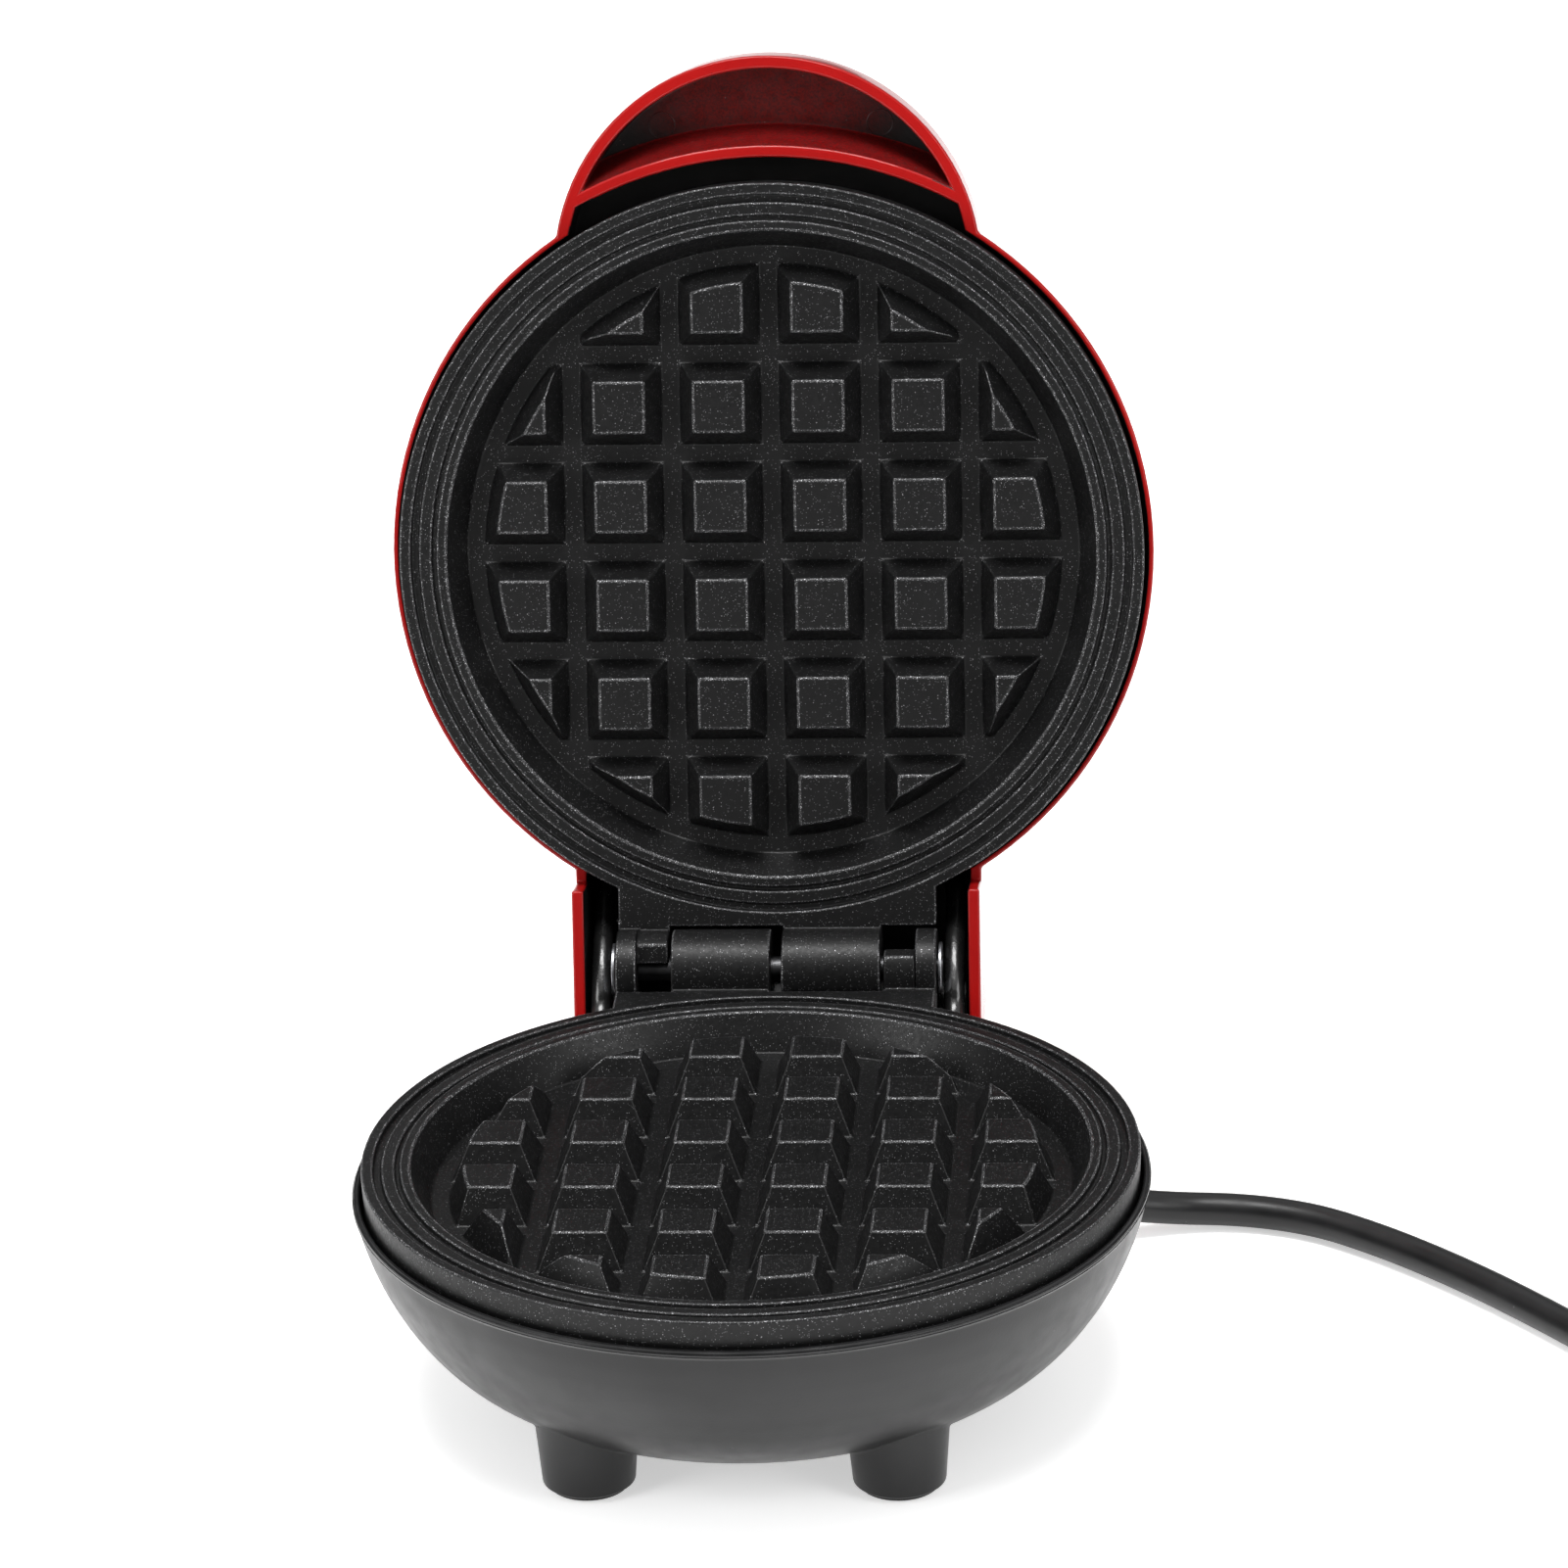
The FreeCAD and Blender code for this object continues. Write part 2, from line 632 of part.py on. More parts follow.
# ---------------------------------------------------------------- lid shell
lid_rim = "plate_level + 2 * hinge_rise + shell_gap"
dome = new_body("dome_outside")
turned(dome, "dome_outside_section", [
    ("0", lid_rim),
    ("lid_radius", lid_rim, "lid_corner"),
    ("lid_flat", "lid_top"),
    ("0", "lid_top"),
])
dome_hollow = new_body("dome_inside")
turned(dome_hollow, "dome_inside_section", [
    ("0", lid_rim + " - 1"),
    ("lid_radius - 1.0", lid_rim + " - 1"),
    ("lid_radius - 1.0", lid_rim + " + 3.0"),
    ("lid_radius - lid_wall - 0.15", lid_rim + " + 4.5", "lid_corner - lid_wall"),
    ("lid_flat", "lid_top - lid_wall"),
    ("0", "lid_top - lid_wall"),
])

# handle: a crescent on the rim, hollow below
grip = new_body("grip")
prism(grip, "grip_pad",
      ring_outline(grip, "grip_circle", "XY_Plane", ("0", "handle_y"), "handle_radius",
                   offset=lid_rim),
      "handle_top - (" + lid_rim + ")")
doc.recompute()
grip_edge = [i for i, edge in enumerate(grip.Shape.Edges, start=1)
             if edge.BoundBox.ZMin > value("handle_top") - 0.01]
grip_pad = grip.Tip
grip_round = grip.newObject("PartDesign::Fillet", "grip_round")
grip_round.Base = (grip_pad, ["Edge%d" % i for i in grip_edge])
grip_round.Radius = 4.0
grip_recess = primitive("Cylinder", "grip_recess", at=("0", "handle_y", lid_rim + " - 1"),
                        Radius="handle_radius - handle_wall", Height="recess_depth + 1")
recess_back = primitive("Cone", "recess_back", at=("0", "0", lid_rim + " - 1"),
                        Radius1="67.2", Radius2="70.4", Height="recess_depth + 1.1")
inner_gap = common("inner_gap",
                   primitive("Cylinder", "gap_disc", at=("0", "0", lid_rim + " - 1"),
                             Radius="65.6", Height="recess_depth + 1"),
                   primitive("Cylinder", "gap_circle", at=("0", "handle_y", lid_rim + " - 1"),
                             Radius="handle_radius - handle_wall", Height="recess_depth + 1"))
recess = cut("recess", grip_recess, recess_back)

# hood over the hinge, hanging down behind the base
hood = new_body("hood")
prism(hood, "hood_pad", outline(hood, "hood_outline", "YZ_Plane", [
    ("44", lid_rim),
    ("55.5", lid_rim),
    ("55.5", "hood_bottom"),
    ("hood_back", "hood_bottom"),
    ("hood_back", "54", "14"),
    ("70", "67.5"),
    ("44", "69.5"),
]), "2 * hood_half", both=True)
hood_hollow = new_body("hood_inside")
prism(hood_hollow, "hood_inside_pad", outline(hood_hollow, "hood_inside_outline", "YZ_Plane", [
    ("42", "36"),
    ("hood_back - hood_wall", "36"),
    ("hood_back - hood_wall", "53.5", "12"),
    ("69.5", "65.4"),
    ("42", "67.5"),
]), "2 * (hood_half - hood_wall)", both=True)

lid_posts = [primitive("Cylinder", "lid_post%d" % i,
                       at=(x, y, "plate_level + 2 * hinge_rise + boss_depth + shield_thick"),
                       Radius="4.2", Height="lid_top - plate_level - 2 * hinge_rise - boss_depth"
                                            " - shield_thick - 0.5")
             for i, (x, y) in enumerate(around(3, value("boss_circle")))]
lens_socket = primitive("Cylinder", "lens_socket", at=("0", "-30", "62"),
                        Radius="5", Height="lid_top - 62 - 0.5")
lid_space = cut("lid_space", fuse("lid_hollows", [dome_hollow, hood_hollow, inner_gap]),
                fuse("lid_posts", lid_posts + [lens_socket]))
lid_holes = []
for i, (x, y) in enumerate(around(3, value("boss_circle"))):
    lid_holes.append(primitive("Cylinder", "lid_post_hole%d" % i, at=(x, y, "50"),
                               Radius="screw_radius + screw_play", Height="30"))
    lid_holes.append(primitive("Cylinder", "lid_counterbore%d" % i, at=(x, y, "63"),
                               Radius="2.9", Height="20"))
lid_holes.append(primitive("Cylinder", "lens_hole", at=("0", "-30", "50"),
                           Radius="3.1", Height="30"))
keep("lid", "lid_shell", cut("lid_shell", fuse("solid_lid", [dome, grip, hood]),
                             fuse("lid_voids", [lid_space, recess] + lid_holes)))

# ---------------------------------------------------------------- hinge pin and clips
axis_height = "plate_level + hinge_rise"
keep("base", "hinge_pin", primitive("Cylinder", "hinge_pin",
                                    at=("-pin_half", "hinge_y", axis_height), turn=ALONG_X,
                                    Radius="pin_radius", Height="2 * pin_half"))
clips = []
for i, start in enumerate(("ear_far + 0.3", "-ear_far - 0.8")):
    disc = primitive("Cylinder", "clip_disc%d" % i, at=(start, "hinge_y", axis_height),
                     turn=ALONG_X, Radius="4.3", Height="0.5")
    hole = primitive("Cylinder", "clip_hole%d" % i, at=(start + " - 1", "hinge_y", axis_height),
                     turn=ALONG_X, Radius="pin_radius", Height="3")
    mouth = primitive("Box", "clip_mouth%d" % i,
                      at=(start + " - 1", "hinge_y - 1.4", axis_height + " - 6"),
                      Length="3", Width="2.8", Height="6")
    clips.append(cut("clip%d" % i, disc, fuse("clip_opening%d" % i, [hole, mouth])))
keep("base", "hinge_clips", group("hinge_clips", clips))

# ---------------------------------------------------------------- screws
def screws(name, spots, head_z, tip_z):
    """Pan-head screws along Z.  The tip is above the head for a screw driven upwards."""
    upward = tip_z > head_z
    low = head_z - value("head_height") if upward else head_z
    drive_z = low - 0.1 if upward else low + 0.9
    parts = []
    for i, (x, y) in enumerate(spots):
        shank = primitive("Cylinder", "%s_shank%d" % (name, i),
                          at=(x, y, min(head_z, tip_z)),
                          Radius="screw_radius", Height=abs(tip_z - head_z))
        cap = primitive("Cylinder", "%s_head%d" % (name, i), at=(x, y, low),
                        Radius=2.6, Height="head_height")
        slot = primitive("Box", "%s_slot%d" % (name, i), at=(x - 2, y - 0.3, drive_z),
                         Length=4, Width=0.6, Height=0.8)
        cross = primitive("Box", "%s_cross%d" % (name, i), at=(x - 0.3, y - 2, drive_z),
                          Length=0.6, Width=4, Height=0.8)
        parts.append(cut("%s_screw%d" % (name, i), fuse("%s_blank%d" % (name, i), [shank, cap]),
                         fuse("%s_drive%d" % (name, i), [slot, cross])))
    return group(name, parts)


boss_spots = around(3, value("boss_circle"))
keep("base", "base_screws", screws("base_screws", boss_spots, 14.0, 30.0))
keep("lid", "lid_screws", screws("lid_screws", boss_spots, 63.0, 54.0))
lid_caps = common("lid_caps_trim", fuse("lid_caps_blank", [
    primitive("Cylinder", "lid_cap%d" % i, at=(x, y, "65.5"), Radius="2.85", Height="8")
    for i, (x, y) in enumerate(boss_spots)]), dome)
keep("lid", "lid_screw_caps", group("lid_screw_caps", [lid_caps]))

# ---------------------------------------------------------------- thermostat and fuse
stat_top = "plate_level - cavity_depth - casting"
keep("base", "thermostat", fuse("thermostat", [
    primitive("Cylinder", "thermostat_can", at=("0", "0", stat_top + " - 2.2"), Radius="8",
              Height="2.2"),
    primitive("Cylinder", "thermostat_body", at=("0", "0", stat_top + " - 6.4"), Radius="7",
              Height="4.3"),
]))
strap_ring = cut("strap_ring",
                 primitive("Box", "strap_blank", at=("-13", "-4", stat_top + " - 3.2"),
                           Length="26", Width="8", Height="1.0"),
                 primitive("Cylinder", "strap_hole", at=("0", "0", stat_top + " - 8"),
                           Radius="7.05", Height="8"))
strap_feet = [primitive("Box", "strap_foot%d" % i, at=(x, "-4", stat_top + " - 3.2"),
                        Length="3", Width="8", Height="3.2")
              for i, x in enumerate(("-15.5", "12.5"))]
strap = cut("strap", fuse("strap_bent", [strap_ring] + strap_feet),
            primitive("Cylinder", "strap_relief", at=("0", "0", stat_top + " - 2.2"),
                      Radius="8.02", Height="3"))
keep("base", "thermostat_strap", strap)
shield_low = "plate_level - boss_depth - shield_thick"
keep("base", "thermal_fuse", fuse("thermal_fuse", [
    primitive("Cylinder", "fuse_case", at=("-26", "-12", shield_low + " - 2.1"), turn=ALONG_X,
              Radius="2.1", Height="12"),
    primitive("Cylinder", "fuse_lead", at=("-31", "-12", shield_low + " - 2.1"), turn=ALONG_X,
              Radius="0.6", Height="22"),
]))

# ---------------------------------------------------------------- terminal block and cord clamp
WAYS = (-10.3, -3.0, 4.3)
ALONG_Y = Rotation(Vector(1, 0, 0), -90)
block_z = "bowl_bottom + 4.2"
way_z = block_z + " + 3.2"
block = primitive("Box", "block_body", at=("-14", "7", block_z), Length="22", Width="12",
                  Height="9")
ways = [primitive("Cylinder", "block_way%d" % i, at=(x, "6", way_z), turn=ALONG_Y,
                  Radius="1.6", Height="14") for i, x in enumerate(WAYS)]
wells = [primitive("Cylinder", "block_well%d" % i, at=(x, "13", way_z),
                   Radius="1.9", Height="6") for i, x in enumerate(WAYS)]
keep("base", "terminal_block", cut("terminal_block", block,
                                   fuse("block_openings", ways + wells)))
keep("base", "terminal_screws", group("terminal_screws", [
    primitive("Cylinder", "terminal_screw%d" % i, at=(x, "13", way_z),
              Radius="1.5", Height="4") for i, x in enumerate(WAYS)]))
BAR = Vector(15.4, 4.6, 1.6)
clamp_turn = Rotation(Vector(1, 0, 0), CLAMP_ALONG)
clamp_corner = CLAMP - clamp_turn.multVec(Vector(BAR.x / 2, BAR.y / 2, 0))
keep("base", "cord_clamp", primitive("Box", "cord_clamp_bar", at=tuple(clamp_corner),
                                     turn=clamp_turn, Length=BAR.x, Width=BAR.y, Height=BAR.z))
keep("base", "clamp_screws", group("clamp_screws", [
    primitive("Cylinder", "clamp_screw%d" % i, at=(x, y, CLAMP.z + BAR.z), Radius=2.2,
              Height=1.4) for i, (x, y) in enumerate(CLAMP_SPOTS)]))

# ---------------------------------------------------------------- strain relief and inner lead
relief_parts = [
    common("relief_flange_trim", hollow,
           gland_part("Cylinder", "relief_flange", -10.8, Radius="6.0", Height="1.8")),
    gland_part("Cylinder", "relief_neck", -10.8, Radius="4.55", Height="14"),
    gland_part("Cylinder", "relief_collar", 3.1, Radius="5.4", Height="1.6"),
    gland_part("Cone", "relief_sleeve", 3.1, Radius1="4.6", Radius2="3.5", Height="21.3"),
]
keep("base", "strain_relief", fuse("strain_relief", relief_parts))

CORD_EXIT = along_gland(24.4)
INNER = [tuple(along_gland(-10.8)), tuple(along_gland(-15.0)), (16.2, 33.3, 13.6),
         (9.6, 29.8, 13.2)]
inner_shape = tube_shape(INNER, value("cord_radius"))[0]
keep("base", "inner_lead", feature("inner_lead", inner_shape))

# ---------------------------------------------------------------- wires
def wires(name, routes, radius):
    return feature(name, Part.makeCompound(
        [tube_shape(route, radius, bends=4.0)[0] for route in routes]))


height = value("plate_level + hinge_rise")
hinge_y = value("hinge_y")
sleeve_x = value("sleeve_x")
wire = value("wire_radius")
legs = [tuple(value(v) for v in leg_spot(angle)) for angle in LEG_ANGLES]
leg_foot = value("plate_level - terminal_reach + " + HEATER_LEVEL)
fuse_z = value(shield_low) - 2.1
stat_low = value(stat_top) - 6.4
WAY_Z = value(way_z)
FRONT = 6.9
BACK = 19.1
keep("base", "base_wiring", wires("base_wiring", [
    # live core and neutral core, from the end of the sheath to the block
    [(10.1, 28.6, 13.2), (7.4, 27.2, 13.0), (WAYS[2], 23.5, WAY_Z), (WAYS[2], BACK, WAY_Z)],
    [(8.9, 30.8, 13.2), (6.2, 29.4, 13.0), (-1.0, 25.5, 12.6), (WAYS[1], 22.5, WAY_Z),
     (WAYS[1], BACK, WAY_Z)],
    # block to fuse, fuse to thermostat, thermostat to heater, heater back to the block
    [(WAYS[0], FRONT, WAY_Z), (WAYS[0], 2.0, WAY_Z), (-22.0, -8.0, 16.0),
     (-33.5, -11.5, 19.0), (-32.6, -12.0, fuse_z), (-31.2, -12.0, fuse_z)],
    [(-8.8, -12.0, fuse_z), (-4.0, -11.0, 21.5), (-2.5, -3.0, 21.0), (-2.5, -1.5, stat_low)],
    [(2.5, 1.5, stat_low), (2.5, 1.5, 21.0), (5.6, 14.0, 21.2), (6.0, legs[0][1], 21.2),
     (legs[0][0] - 1.25, legs[0][1], 21.2)],
    [(WAYS[0], BACK, WAY_Z), (WAYS[0], 24.5, WAY_Z), (legs[1][0], legs[1][1], 14.5),
     (legs[1][0], legs[1][1], leg_foot)],
    # feeds that rise through the hinge sleeves to the lid
    [(WAYS[2], FRONT, WAY_Z), (WAYS[2], 3.0, WAY_Z), (16.0, 3.5, 14.0), (28.0, 15.0, 20.4),
     (18.0, 34.0, 21.0), (17.0, 40.0, 20.5)],
    [(WAYS[1], FRONT, WAY_Z), (WAYS[1], 3.0, WAY_Z), (-16.0, 2.0, 14.0), (-26.0, 17.0, 18.0),
     (-18.0, 34.0, 20.5), (-17.0, 40.0, 20.5)],
], wire))

SLEEVE_PATH = [(17.0, 40.0, 20.5), (27.0, 45.5, 23.8), (28.8, 48.2, 29.0),
               (sleeve_x, 55.0, 32.3), (sleeve_x, 62.0, 33.6), (sleeve_x, 66.4, 36.4),
               (sleeve_x, 67.5, 39.1)]
LID_SLEEVE = [(sleeve_x, hinge_y - 2.4, height + 2.6), (sleeve_x, 63.0, height + 7.8),
              (sleeve_x, 57.0, 54.0), (26.5, 51.0, 60.0), (21.0, 42.0, 64.8)]


def mirrored(path):
    return [(-x, y, z) for x, y, z in path]


sleeve = value("sleeve_radius")
keep("base", "hinge_sleeves_base", wires("hinge_sleeves_base",
                                         [SLEEVE_PATH, mirrored(SLEEVE_PATH)], sleeve))
keep("lid", "hinge_sleeves_lid", wires("hinge_sleeves_lid",
                                       [LID_SLEEVE, mirrored(LID_SLEEVE)], sleeve))
lid_leg = value("plate_level + 2 * hinge_rise + terminal_reach - (" + HEATER_LEVEL + ")")
keep("lid", "lid_wiring", wires("lid_wiring", [
    [LID_SLEEVE[-1], (17.0, 36.5, 66.8), (legs[0][0], legs[0][1], 66.8),
     (legs[0][0], legs[0][1], lid_leg)],
    [mirrored(LID_SLEEVE)[-1], (-17.0, 36.5, 66.8), (legs[1][0], legs[1][1], 66.8),
     (legs[1][0], legs[1][1], lid_leg)],
    [(legs[0][0] - 2.6, 26.0, 66.6), (4.0, 0.0, 63.5), (1.2, -22.0, 60.9), (1.2, -29.2, 60.9),
     (1.2, -29.8, 62.4)],
    [(legs[1][0] + 2.6, 26.0, 66.6), (-4.0, 0.0, 63.5), (-1.2, -22.0, 60.9),
     (-1.2, -29.2, 60.9), (-1.2, -29.8, 62.4)],
], 0.8))

# ---------------------------------------------------------------- indicator lamp
keep("lid", "indicator_lens", fuse("indicator_lens", [
    primitive("Cylinder", "lens_barrel", at=("0", "-30", "lid_top - 5"), Radius="3.05",
              Height="5"),
    primitive("Cone", "lens_cap", at=("0", "-30", "lid_top"), Radius1="3.9", Radius2="3.1",
              Height="0.9"),
]))
keep("lid", "neon_lamp", primitive("Cylinder", "neon_lamp", at=("0", "-30", "62.4"),
                                   Radius="2.4", Height="4.5"))

# ---------------------------------------------------------------- mains cord, coil and plug
# The cord runs round the right rear of the base, across the table to the right, and the rest
# of its length is wound into a coil with the plug beside it.
COIL = Vector(176.9, 3.6, 0)
CORD_RUN = [
    tuple(CORD_EXIT),
    (64.6, 57.0, 3.45),
    (77.2, 57.9, 2.8),
    (89.2, 54.1, 2.75),
    (99.2, 46.5, 2.78),
    (108.0, 38.4, 2.75),
    (116.6, 29.3, 2.78),
    (124.7, 19.8, 2.75),
    (132.6, 9.8, 2.78),
    (140.4, -1.1, 2.75),
    (147.7, -13.2, 2.78),
]
TAIL_RUN = [
    (209.1, -5.0, 8.3),
    (212.4, 7.8, 7.6),
    (215.2, 20.6, 5.6),
    (216.7, 32.4, 6.6),
    (216.9, 44.0, 7.5),
]
coil_ring = new_body("coil_ring")
inside = "coil_radius - coil_width / 2"
outside = "coil_radius + coil_width / 2"
turned(coil_ring, "coil_ring_section", [
    (inside + " + 4", "0"),
    (outside + " - 4", "0", "4"),
    (outside, "4"),
    (outside, "coil_height - 4", "4"),
    (outside + " - 4", "coil_height"),
    (inside + " + 4", "coil_height", "4"),
    (inside, "coil_height - 4"),
    (inside, "4", "4"),
])
coil_ring.Placement = Placement(COIL, Rotation())
section = math.pi * value("cord_radius") ** 2
for name, run in (("power_cord", CORD_RUN), ("cord_tail", TAIL_RUN)):
    shape, path, radii = tube_shape(run, value("cord_radius"))
    print(name, "radii", [round(r, 1) for r in radii])
    print(name, "length %.1f, volume over section times length %.4f"
          % (path.Length, shape.Volume / (section * path.Length)))
    keep("base", name, cut(name, feature(name + "_run", shape), coil_ring))
keep("base", "cord_coil", group("cord_coil", [coil_ring]))

PLUG = Vector(*TAIL_RUN[-1])
keep("base", "plug_relief", primitive("Cone", "plug_relief", at=tuple(PLUG), turn=ALONG_Y,
                                      Radius1=3.3, Radius2=4.6, Height=14))
plug_block = new_body("plug_block")
prism(plug_block, "plug_block_pad", outline(plug_block, "plug_block_outline", "XZ_Plane", [
    ("-6", "0"),
    ("6", "0", "5"),
    ("11", "5"),
    ("11", "10", "5"),
    ("6", "15"),
    ("-6", "15", "5"),
    ("-11", "10"),
    ("-11", "5", "5"),
]), "24", reverse=True)
plug_block.Placement = Placement(Vector(PLUG.x, PLUG.y + 14, 0), Rotation())
keep("base", "plug_body", group("plug_body", [plug_block]))
keep("base", "plug_pins", group("plug_pins", [
    primitive("Box", "plug_pin%d" % i, at=(PLUG.x + x - 0.75, PLUG.y + 38, 7.5 - 3.15),
              Length=1.5, Width=17, Height=6.3) for i, x in enumerate((-6.35, 6.35))]))

faults = []
doc.recompute()
for item in doc.Objects:
    if "Invalid" in item.State or "Error" in item.State:
        faults.append(item.Name + " " + str(item.State))

# ---------------------------------------------------------------- placing and writing
shift = Placement(Vector(0, value("base_shift"), 0), Rotation())
opening = Placement(Vector(), Rotation(Vector(1, 0, 0), -value("open_angle")),
                    Vector(0, value("hinge_y"), value("plate_level + hinge_rise")))
whole = {"base": shift, "lid": shift.multiply(opening)}
for side, items in nodes.items():
    for item in items:
        own = item.Placement
        item.Placement = whole[side].multiply(placed[item.Name]).multiply(own)
doc.recompute()

os.makedirs("parts", exist_ok=True)
box = FreeCAD.BoundBox()
for items in nodes.values():
    for item in items:
        if item.Shape.isNull() or not item.Shape.isValid():
            faults.append(item.Label + " has no valid shape")
        elif not item.Label.startswith(("power", "cord", "plug")):
            box.add(item.Shape.optimalBoundingBox())
if faults:
    raise SystemExit("\n".join(faults))
for items in nodes.values():
    for item in items:
        item.Shape.exportStep("parts/%s.step" % item.Label)
        print("%-22s solids %d volume %.0f" % (item.Label, len(item.Shape.Solids),
                                               item.Shape.Volume))
print("box", box)
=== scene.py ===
import json
import math

import bmesh
import bpy
from mathutils import Matrix, Vector


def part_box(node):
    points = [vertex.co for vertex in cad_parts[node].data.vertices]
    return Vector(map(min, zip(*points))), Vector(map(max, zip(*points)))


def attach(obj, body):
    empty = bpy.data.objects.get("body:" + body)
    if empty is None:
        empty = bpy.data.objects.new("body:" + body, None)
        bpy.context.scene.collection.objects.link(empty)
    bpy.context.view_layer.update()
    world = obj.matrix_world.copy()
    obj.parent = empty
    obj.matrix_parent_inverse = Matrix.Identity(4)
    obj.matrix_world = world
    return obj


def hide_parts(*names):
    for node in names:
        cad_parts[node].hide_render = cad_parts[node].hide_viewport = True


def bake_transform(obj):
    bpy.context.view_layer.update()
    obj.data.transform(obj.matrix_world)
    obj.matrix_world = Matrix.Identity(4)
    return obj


# A small round waffle maker that stands open.  Metres, +Z up, the front faces -Y.
# The CAD frame is loaded first; then come the camera, the materials, the cord with its plug,
# the plates, the shells, the sleeves of the hinge, what stays from the frame, and the stage.

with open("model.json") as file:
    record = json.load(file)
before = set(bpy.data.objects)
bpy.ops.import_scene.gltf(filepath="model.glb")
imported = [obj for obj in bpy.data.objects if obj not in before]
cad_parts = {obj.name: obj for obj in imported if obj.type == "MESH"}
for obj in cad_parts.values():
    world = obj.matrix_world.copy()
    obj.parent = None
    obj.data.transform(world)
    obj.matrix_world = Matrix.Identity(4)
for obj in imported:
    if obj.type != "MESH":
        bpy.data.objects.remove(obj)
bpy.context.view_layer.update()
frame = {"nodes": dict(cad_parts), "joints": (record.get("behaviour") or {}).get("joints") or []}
SCENE = bpy.context.scene
MM = 0.001
HINGE = Vector(frame["joints"][0]["pos_m"])
OPEN_ANGLE = math.radians(frame["joints"][0]["range_deg"][1])
OPENING = Matrix.Rotation(-OPEN_ANGLE, 3, "X")
CLOSING = Matrix.Rotation(OPEN_ANGLE, 3, "X")
HINGE_BEHIND = 69.3  # mm from the base's centre back to the hinge's axis
BENCH_Y = HINGE.y / MM - HINGE_BEHIND


def spot(x, y, z):
    """A point given in the bench's millimetres, where the base is centred on the Z axis."""
    return Vector((x, y + BENCH_Y, z)) * MM


def opened(x, y, z):
    """A point of the closed lid, in the bench's millimetres, carried to where the lid rests."""
    return HINGE + OPENING @ (spot(x, y, z) - HINGE)


def closed(point):
    """The inverse of opened(): where a point of the lid lies when the lid is shut."""
    shut = HINGE + CLOSING @ (Vector(point) - HINGE)
    return Vector((shut.x, shut.y - BENCH_Y * MM, shut.z)) / MM


# ---------------------------------------------------------------- camera
CAMERA_AT = Vector((0.08916, -1.11858, 0.54817))
CAMERA_YAW = -0.0750
CAMERA_PITCH = -0.3867
CAMERA_ROLL = -0.0347
SENSOR = 36.0
LENS = 174.35


def make_camera():
    data = bpy.data.cameras.new("camera")
    data.sensor_width = SENSOR
    data.lens = LENS
    camera = bpy.data.objects.new("camera", data)
    SCENE.collection.objects.link(camera)
    ahead = Vector((math.sin(CAMERA_YAW) * math.cos(CAMERA_PITCH),
                    math.cos(CAMERA_YAW) * math.cos(CAMERA_PITCH), math.sin(CAMERA_PITCH)))
    level = Vector((math.cos(CAMERA_YAW), -math.sin(CAMERA_YAW), 0))
    upright = level.cross(ahead)
    right = level * math.cos(CAMERA_ROLL) + upright * math.sin(CAMERA_ROLL)
    up = upright * math.cos(CAMERA_ROLL) - level * math.sin(CAMERA_ROLL)
    turn = Matrix((right, up, -ahead)).transposed()
    camera.matrix_world = Matrix.Translation(CAMERA_AT) @ turn.to_4x4()
    SCENE.camera = camera


make_camera()

# ---------------------------------------------------------------- materials


class Look:
    """A Principled material with fixed sockets, and helpers to add its texture nodes."""

    def __init__(self, name, **fixed):
        self.material = bpy.data.materials.new(name)
        self.material.use_nodes = True
        self.tree = self.material.node_tree
        self.shader = self.tree.nodes["Principled BSDF"]
        for socket, value in fixed.items():
            self.shader.inputs[socket.replace("_", " ")].default_value = value
        self.place = self.node("ShaderNodeTexCoord").outputs["Object"]

    def node(self, kind, inputs=None, **settings):
        made = self.tree.nodes.new(kind)
        for key, value in settings.items():
            setattr(made, key, value)
        for key, value in (inputs or {}).items():
            if isinstance(value, bpy.types.NodeSocket):
                self.tree.links.new(value, made.inputs[key])
            else:
                made.inputs[key].default_value = value
        return made

    def noise(self, scale, detail=3.0, rough=0.5, stretch=None):
        place = self.place
        if stretch:
            place = self.node("ShaderNodeMapping", {"Vector": place, "Scale": stretch}).outputs[0]
        return self.node("ShaderNodeTexNoise", {"Vector": place, "Scale": scale, "Detail": detail,
                                                "Roughness": rough}).outputs["Fac"]

    def specks(self, scale, share, size):
        """Scattered round specks: 1 inside a speck.  share is how many cells hold one."""
        cells = self.node("ShaderNodeTexVoronoi", {"Vector": self.place, "Scale": scale})
        chance = self.node("ShaderNodeSeparateColor", {"Color": cells.outputs["Color"]})
        chosen = self.math("GREATER_THAN", chance.outputs[0], 1 - share)
        inside = self.math("LESS_THAN", cells.outputs["Distance"], size)
        return self.math("MULTIPLY", chosen, inside)

    def math(self, operation, first, second=0.0, clamp=False):
        return self.node("ShaderNodeMath", {0: first, 1: second}, operation=operation,
                         use_clamp=clamp).outputs[0]

    def remap(self, fac, low, high, to_low, to_high):
        return self.node("ShaderNodeMapRange", {"Value": fac, "From Min": low, "From Max": high,
                                                "To Min": to_low, "To Max": to_high}).outputs[0]

    def smooth_step(self, value, low, high):
        return self.node("ShaderNodeMapRange", {"Value": value, "From Min": low, "From Max": high},
                         interpolation_type="SMOOTHSTEP").outputs[0]

    def mix(self, fac, first, second):
        return self.node("ShaderNodeMix", {0: fac, 6: first, 7: second},
                         data_type="RGBA").outputs[2]

    def drive(self, socket, output):
        self.tree.links.new(output, self.shader.inputs[socket])

    def bump(self, height, strength, distance, under=None):
        inputs = {"Height": height, "Strength": strength, "Distance": distance}
        if under:
            inputs["Normal"] = under
        return self.node("ShaderNodeBump", inputs).outputs[0]


def rgb(red, green, blue):
    return (red, green, blue, 1.0)


